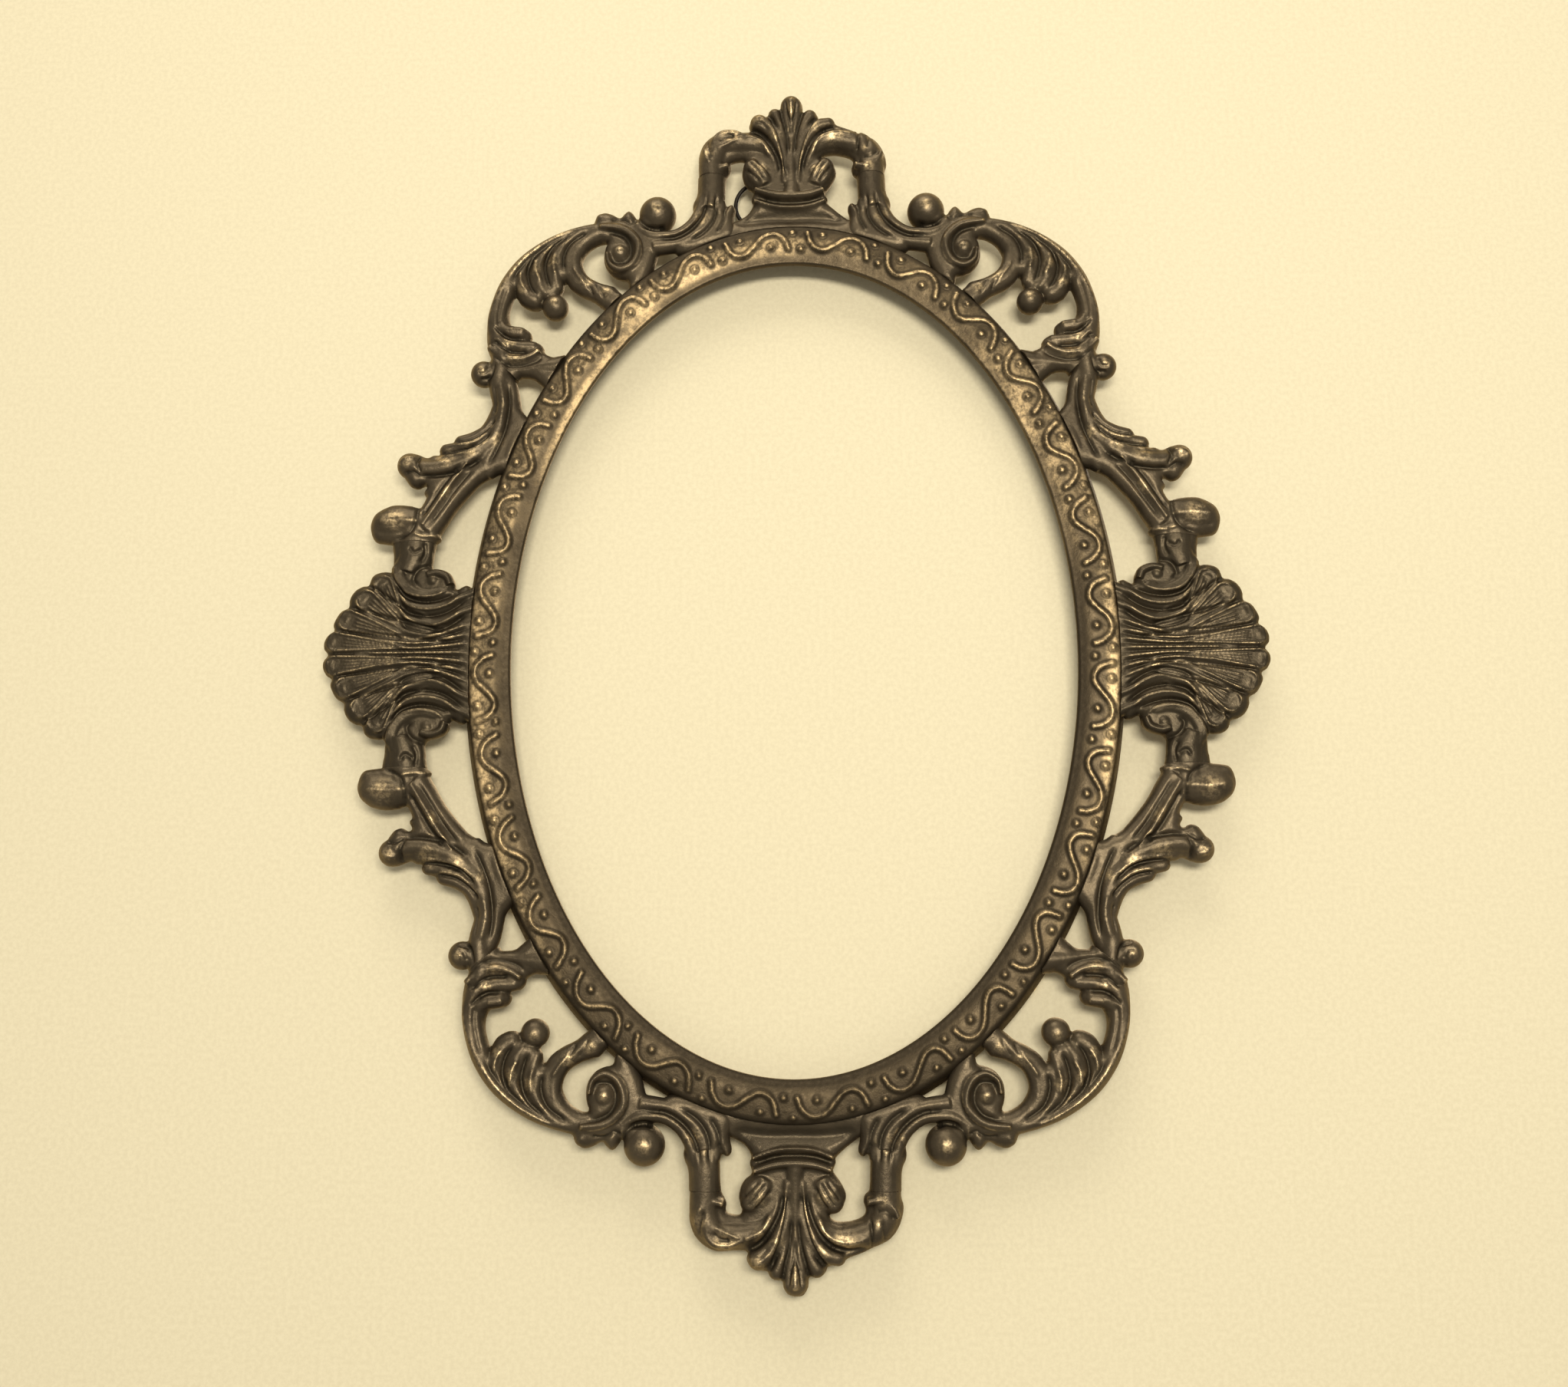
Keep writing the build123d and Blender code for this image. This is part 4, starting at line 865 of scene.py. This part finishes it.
crest_mesh = cast("crest", crest_parts, crest_lines, crest_rubs, back=CREST_BACK)
crest_mesh = bulk_only(trim(crest_mesh, POST_CUT, -1, post_zone))
corner_mesh = cast("corner", corner_parts, corner_lines, corner_rubs)
corner_mesh = bulk_only(trim(trim(corner_mesh, POST_CUT, 1), NECK_CUT, -1))
strap_mesh = cast("strap", strap_parts, strap_lines, strap_rubs)
strap_mesh = bulk_only(trim(trim(strap_mesh, NECK_CUT, 1), KNOB_CUT, -1))
shell_mesh = cast("shell", shell_parts, shell_lines, shell_rubs, FINE_VOXEL, SHELL_TARNISH)
shell_mesh = trim(shell_mesh, KNOB_CUT, 1, lambda spot: spot.z > 0)
shell_mesh = bulk_only(trim(shell_mesh, LOW_KNOB_CUT, 1, lambda spot: spot.z < 0))

place(crest_mesh, "crest_top")
place(copy_of(crest_mesh, "crest_low", 1, -1), "crest_bottom")
for corner, flip_x, flip_z in (("tr", 1, 1), ("tl", -1, 1), ("br", 1, -1), ("bl", -1, -1)):
    place(copy_of(corner_mesh, "corner_" + corner, flip_x, flip_z), "corner_scroll_" + corner)
    place(copy_of(strap_mesh, "strap_" + corner, flip_x, flip_z), "side_strap_" + corner)
place(shell_mesh, "shell_right")
place(copy_of(shell_mesh, "shell_l", -1, 1), "shell_left")


# Rim: swept section with raised waves and dots on its band

ROUND_STEPS, EVEN_STEPS, FINE_STEPS = 1500, 2000, 20001
FACE_STEPS, FACE_SLOPE, FACE_CROWN = 36, 0.5, 0.18
FACE_DEPTH = 5.4  # the rim's face lies in front of this

# Waves and dots: (distance along the oval from the wave's start, distance out from the sight edge)
WAVES, FIRST_WAVE = 28, 3.3
START_PLAY, LEAN_PLAY = 0.35, 0.25
WAVE_BENDS = ((0, 6.8), (0.7, 4.5), (2.1, 3.2), (3.9, 3.1), (5.8, 4.4), (7.8, 6.3), (9.7, 7), (11.4, 6.6),
              (12.7, 5.2), (13.4, 3.4))
DOTS = ((3.1, 6.6), (9.6, 3.9), (14.3, 7.1), (16.1, 3.3))
RELIEF, WAVE_HALF, DOT_RADIUS = 0.5, 0.5, 0.8

# Zones of lip, face and outer edge with brass painted on, worn brass and painted glare, dimmed where the
# strength is below 0: (degrees clockwise from the top, half width, strength)
LIP_RUB_AND_GLARE = ((-38, 19, 0.7), (42, 18, 0.35))
FACE_RUB_AND_GLARE = ((-80, 45, 0.34), (-13, 20, 0.66), (45, 26, 0.28))
EDGE_RUB_AND_GLARE = ((-107, 27, 0.5), (98, 14, 0.8), (60, 24, 0.32), (-8, 35, -0.25))
BESIDE_LIP = ((52, 24, 0.12), (-50, 45, -0.2), (10, 16, -0.2))


def round_angles(count):
    """Angles of points at even distances along the band's middle, clockwise from the top, and its length."""
    t = np.linspace(0, 2 * math.pi, FINE_STEPS)
    x, z = (SIGHT_A + BAND / 2) * np.sin(t), (SIGHT_B + BAND / 2) * np.cos(t)
    run = np.concatenate([[0], np.cumsum(np.hypot(np.diff(x), np.diff(z)))])
    return np.interp(np.arange(count) / count * run[-1], run, t), run[-1]


even_angles, oval_length = round_angles(EVEN_STEPS)
EVEN_SHARE = np.append(np.arange(EVEN_STEPS) / EVEN_STEPS, 1)
EVEN_ANGLE = np.append(even_angles, 2 * math.pi)


def oval_point(run, out):
    """Point that far along the oval, clockwise from the top, and that far out from the sight edge."""
    t = np.interp(run / oval_length % 1, EVEN_SHARE, EVEN_ANGLE)
    return (SIGHT_A + out) * math.sin(t), (SIGHT_B + out) * math.cos(t)


wave_points = []
dot_points = []
for i in range(WAVES):
    start = i * (oval_length / WAVES) + FIRST_WAVE + rng.uniform(-START_PLAY, START_PLAY)
    lean = rng.uniform(-LEAN_PLAY, LEAN_PLAY)
    wave_points.append(spline([oval_point(start + s, g + lean) for s, g in WAVE_BENDS], 0.15))
    dot_points += [oval_point(start + s, g + lean) for s, g in DOTS]


def rim_section():
    """Section of the rim as semi-axes and depth, from the lip round the front and back."""
    lip = ((0, REBATE_DEPTH), (0, 4.8), (0.02, 5.05), (0.1, 5.28), (0.25, 5.43), (0.45, 5.53))
    outer = ((8, 5.98), (8.3, 5.86), (8.55, 5.62), (8.8, 5.2), (9.2, 4.3), (9.6, 3.3), (9.9, 2.5), (10, 2.1),
             (10, 1), (10, 0.25), (9.85, 0.05), (9.6, 0), (8.5, 0), (7.2, 0))
    start, depth = lip[-1]
    face = []
    for s in np.linspace(0, 1, FACE_STEPS)[1:-1]:
        rise = FACE_SLOPE * smoothstep(0, 0.45, s)
        face.append((start + (BAND - 0.5 - start) * s, depth + rise + FACE_CROWN * math.sin(math.pi * s)))
    rows = [(SIGHT_A + g, SIGHT_B + g, d) for g, d in (*lip, *face, *outer)]
    rows += [(REBATE_A, REBATE_B, d) for d in (0, 1.2, 2.8, 4.3)]
    rows.append((REBATE_A - 0.1, REBATE_B - 0.1, REBATE_DEPTH))
    rows.append(((REBATE_A + SIGHT_A) / 2, (REBATE_B + SIGHT_B) / 2, REBATE_DEPTH))
    return np.array(rows)


def chasing(v, spots):
    """Height of waves and dots at those vertices, and the dark line around each of them."""
    waves, dots = tree_of(np.vstack(wave_points)), tree_of(dot_points)
    lift = np.zeros(len(v))
    edge = np.zeros(len(v))
    for i in spots:
        spot = (v[i, 0], v[i, 2], 0)
        gap = waves.find(spot)[2]
        lift[i] = RELIEF * math.exp(-(gap / WAVE_HALF) ** 4)
        edge[i] = math.exp(-((gap - 0.85) / 0.27) ** 2)
        gap = dots.find(spot)[2]
        if gap < DOT_RADIUS:
            lift[i] = max(lift[i], RELIEF * (1 - (gap / DOT_RADIUS) ** 2))
        edge[i] = max(edge[i], math.exp(-((gap - 1.05) / 0.25) ** 2))
    return lift, edge


def zones(angle, table):
    return sum(strength * bell(angle, middle, wide) for middle, wide, strength in table)


def rim_wear(v, n, bend, lift, edge, grow):
    """Wear on ridges, dark patina in hollows, painted shade on the lip and towards the bottom, and brass
    painted as wear and glare; grow is the distance out from the sight edge.
    """
    front = np.clip(-n[:, 1] * 0.8 + 0.3, 0, 1)
    angle = np.degrees(np.arctan2(v[:, 0], v[:, 2]))
    # painted shade: darker towards the bottom, with fainter brass on the waves and the band there
    bottom_shade = bell(np.abs(angle), 180, 38)
    chased = (0.65 - 0.3 * bottom_shade) * smoothstep(0.2, 0.42, lift)
    wear = np.clip(0.5 * smoothstep(0.02, 0.07, bend) * front + chased, 0, 1)

    hollow = np.maximum(smoothstep(0.008, 0.05, -bend), 0.55 * smoothstep(-5.3, -4.6, v[:, 1]))
    hollow = np.maximum(hollow * (lift < 0.2), 0.85 * edge)
    border = 7 + 1.1 * np.sin(np.radians(angle)) ** 2
    hollow = np.maximum(hollow, 0.8 * smoothstep(border, border + 0.7, grow))
    # painted shade: lip and inner face darkened on the left, the lip alone on the right and at the bottom
    left_lip_shade = np.maximum(bell(angle, -115, 75), bell(angle, 245, 75)) * (1 - smoothstep(2.6, 4, grow))
    right_lower_lip_shade = np.maximum(smoothstep(62, 88, angle), smoothstep(102, 128, -angle))
    right_lower_lip_shade = right_lower_lip_shade * (1 - smoothstep(1.2, 2.6, grow))
    for layer in (0.7 * left_lip_shade, 0.95 * right_lower_lip_shade, 0.35 * bottom_shade):
        hollow = np.maximum(hollow, layer)

    on_lip = 1 - smoothstep(1, 2.2, grow)
    on_edge = smoothstep(4.9, 7, grow)
    # brass painted by angle round the rim: worn brass and painted glare
    rub_and_glare = on_lip * (0.05 + zones(angle, LIP_RUB_AND_GLARE))
    rub_and_glare += on_edge * (0.3 - 0.3 * bottom_shade + zones(angle, EDGE_RUB_AND_GLARE))
    rub_and_glare += (1 - on_lip - on_edge) * (0.08 - 0.08 * bottom_shade + zones(angle, FACE_RUB_AND_GLARE))
    rub_and_glare = np.maximum(front * (rub_and_glare + bell(grow, 2.2, 0.9) * zones(angle, BESIDE_LIP)), 0)
    rub_and_glare *= smoothstep(-5.1, -5.5, v[:, 1])
    return {"wear": wear, "hollow": hollow, "rub_and_glare": np.clip(rub_and_glare, 0, 1)}


def make_rim():
    rows = rim_section()
    turn, _ = round_angles(ROUND_STEPS)
    x = np.sin(turn)[:, None] * rows[None, :, 0]
    z = np.cos(turn)[:, None] * rows[None, :, 1]
    y = -np.repeat(rows[None, :, 2], ROUND_STEPS, 0)
    v = np.stack([x, y, z], axis=2).reshape(-1, 3)
    mesh = bpy.data.meshes.new("rim")
    mesh.from_pydata(v.tolist(), [], grid_faces(ROUND_STEPS, len(rows), closed=True))
    mesh.update()
    face = np.where(v[:, 1] < -FACE_DEPTH)[0]
    lift, edge = chasing(v, face)
    v[:, 1] -= lift
    _, e, count = mesh_arrays(mesh)
    soft = v + 0.35 * (neighbour_mean(v, e, count) - v)
    v[face] = soft[face]
    n = normals_of(mesh, v)
    bend = bend_of(v, e, count, n, 1)
    grow = np.tile(rows[:, 0] - SIGHT_A, ROUND_STEPS)
    return finished(mesh, v, **rim_wear(v, n, bend, lift, edge, grow))


place(make_rim(), "oval_rim", "rim_bronze")


# Backdrop: the pale wall behind the frame, seen only from the front

WALL_Y, WALL_HALF = 0.0018, 2.0  # metres

wall_mesh = bpy.data.meshes.new("wall")
corners = [(x * WALL_HALF, WALL_Y, z * WALL_HALF) for x, z in ((-1, -1), (1, -1), (1, 1), (-1, 1))]
wall_mesh.from_pydata(corners, [], [(0, 1, 2, 3)])
wall_mesh.update()
wall = add("wall", wall_mesh)
wall_mat, tree, shader, coords = material("pale_wall")
cells = noise(tree, coords, 1100.0, 3.0)
pale = mix(tree, remap(tree, cells, 0.3, 0.7), (0.74, 0.675, 0.485), (0.80, 0.735, 0.535))
tree.links.new(pale, shader.inputs["Base Color"])
shader.inputs["Roughness"].default_value = 0.85
shader.inputs["Specular IOR Level"].default_value = 0.15
clear = tree.nodes.new("ShaderNodeBsdfTransparent")
pick = tree.nodes.new("ShaderNodeMixShader")
side_on = tree.nodes.new("ShaderNodeNewGeometry")
tree.links.new(side_on.outputs["Backfacing"], pick.inputs["Fac"])
tree.links.new(shader.outputs["BSDF"], pick.inputs[1])
tree.links.new(clear.outputs["BSDF"], pick.inputs[2])
tree.links.new(pick.outputs["Shader"], tree.nodes["Material Output"].inputs["Surface"])
wall_mesh.materials.append(wall_mat)
wall.visible_shadow = False
wall.visible_diffuse = False

# Light: even and warm, with a key from the front, a lamp above and one behind for the back

WARM, PALE = (1.0, 0.93, 0.80), (1.0, 0.95, 0.88)

world = bpy.data.worlds.new("room")
scene.world = world
world.use_nodes = True
world.node_tree.nodes["Background"].inputs["Color"].default_value = (*WARM, 1.0)
world.node_tree.nodes["Background"].inputs["Strength"].default_value = 0.36


def lamp(name, spot, size, power, colour):
    """Area lamp turned towards the origin."""
    data = bpy.data.lights.new(name, "AREA")
    data.shape = "RECTANGLE"
    data.size, data.size_y = size
    data.energy = power
    data.color = colour
    ahead = -np.array(spot)
    ahead /= np.linalg.norm(ahead)
    right = np.cross(ahead, (0, 0, 1))
    right /= np.linalg.norm(right)
    aim(add(name, data), spot, right, np.cross(right, ahead), -ahead)


lamp("key", (0.08, -0.75, 0.06), (0.36, 0.14), 4.4, WARM)
lamp("top", (-0.12, -0.40, 0.80), (0.6, 0.4), 3.6, WARM)
lamp("back", (0.3, 0.8, 0.5), (0.6, 0.6), 14.0, PALE)

# Camera at the photograph's viewing angle, found from the frame's oval and outline

FOCAL_PX, IMAGE_WIDTH = 2047.0, 2044.0
SENSOR_WIDTH = 36.0
TURN_X, TURN_Y, TURN_Z = -0.197984, 0.0261045, -0.0023583
SHIFT = np.array([1.94305, -8.89434, 334.16485]) * DRAWN
PLANE_DEPTH = 4.1

cx, sx, cy, sy = math.cos(TURN_X), math.sin(TURN_X), math.cos(TURN_Y), math.sin(TURN_Y)
cz, sz = math.cos(TURN_Z), math.sin(TURN_Z)
spin = (np.array([[1, 0, 0], [0, cx, -sx], [0, sx, cx]]) @ np.array([[cy, 0, sy], [0, 1, 0], [-sy, 0, cy]])
        @ np.array([[cz, -sz, 0], [sz, cz, 0], [0, 0, 1]]))
eye = -spin.T @ SHIFT
eye = np.array([eye[0], eye[2] - PLANE_DEPTH, -eye[1]]) * MM
axes = [np.array([row[0], row[2], -row[1]]) for row in spin]
camera_data = bpy.data.cameras.new("camera")
camera_data.sensor_fit = "HORIZONTAL"
camera_data.sensor_width = SENSOR_WIDTH
camera_data.lens = SENSOR_WIDTH * FOCAL_PX / IMAGE_WIDTH
camera_data.clip_start = 0.01
scene.camera = add("camera", camera_data)
aim(scene.camera, eye.tolist(), axes[0], -axes[1], -axes[2])

scene.view_settings.view_transform = "Standard"

bpy.context.view_layer.update()
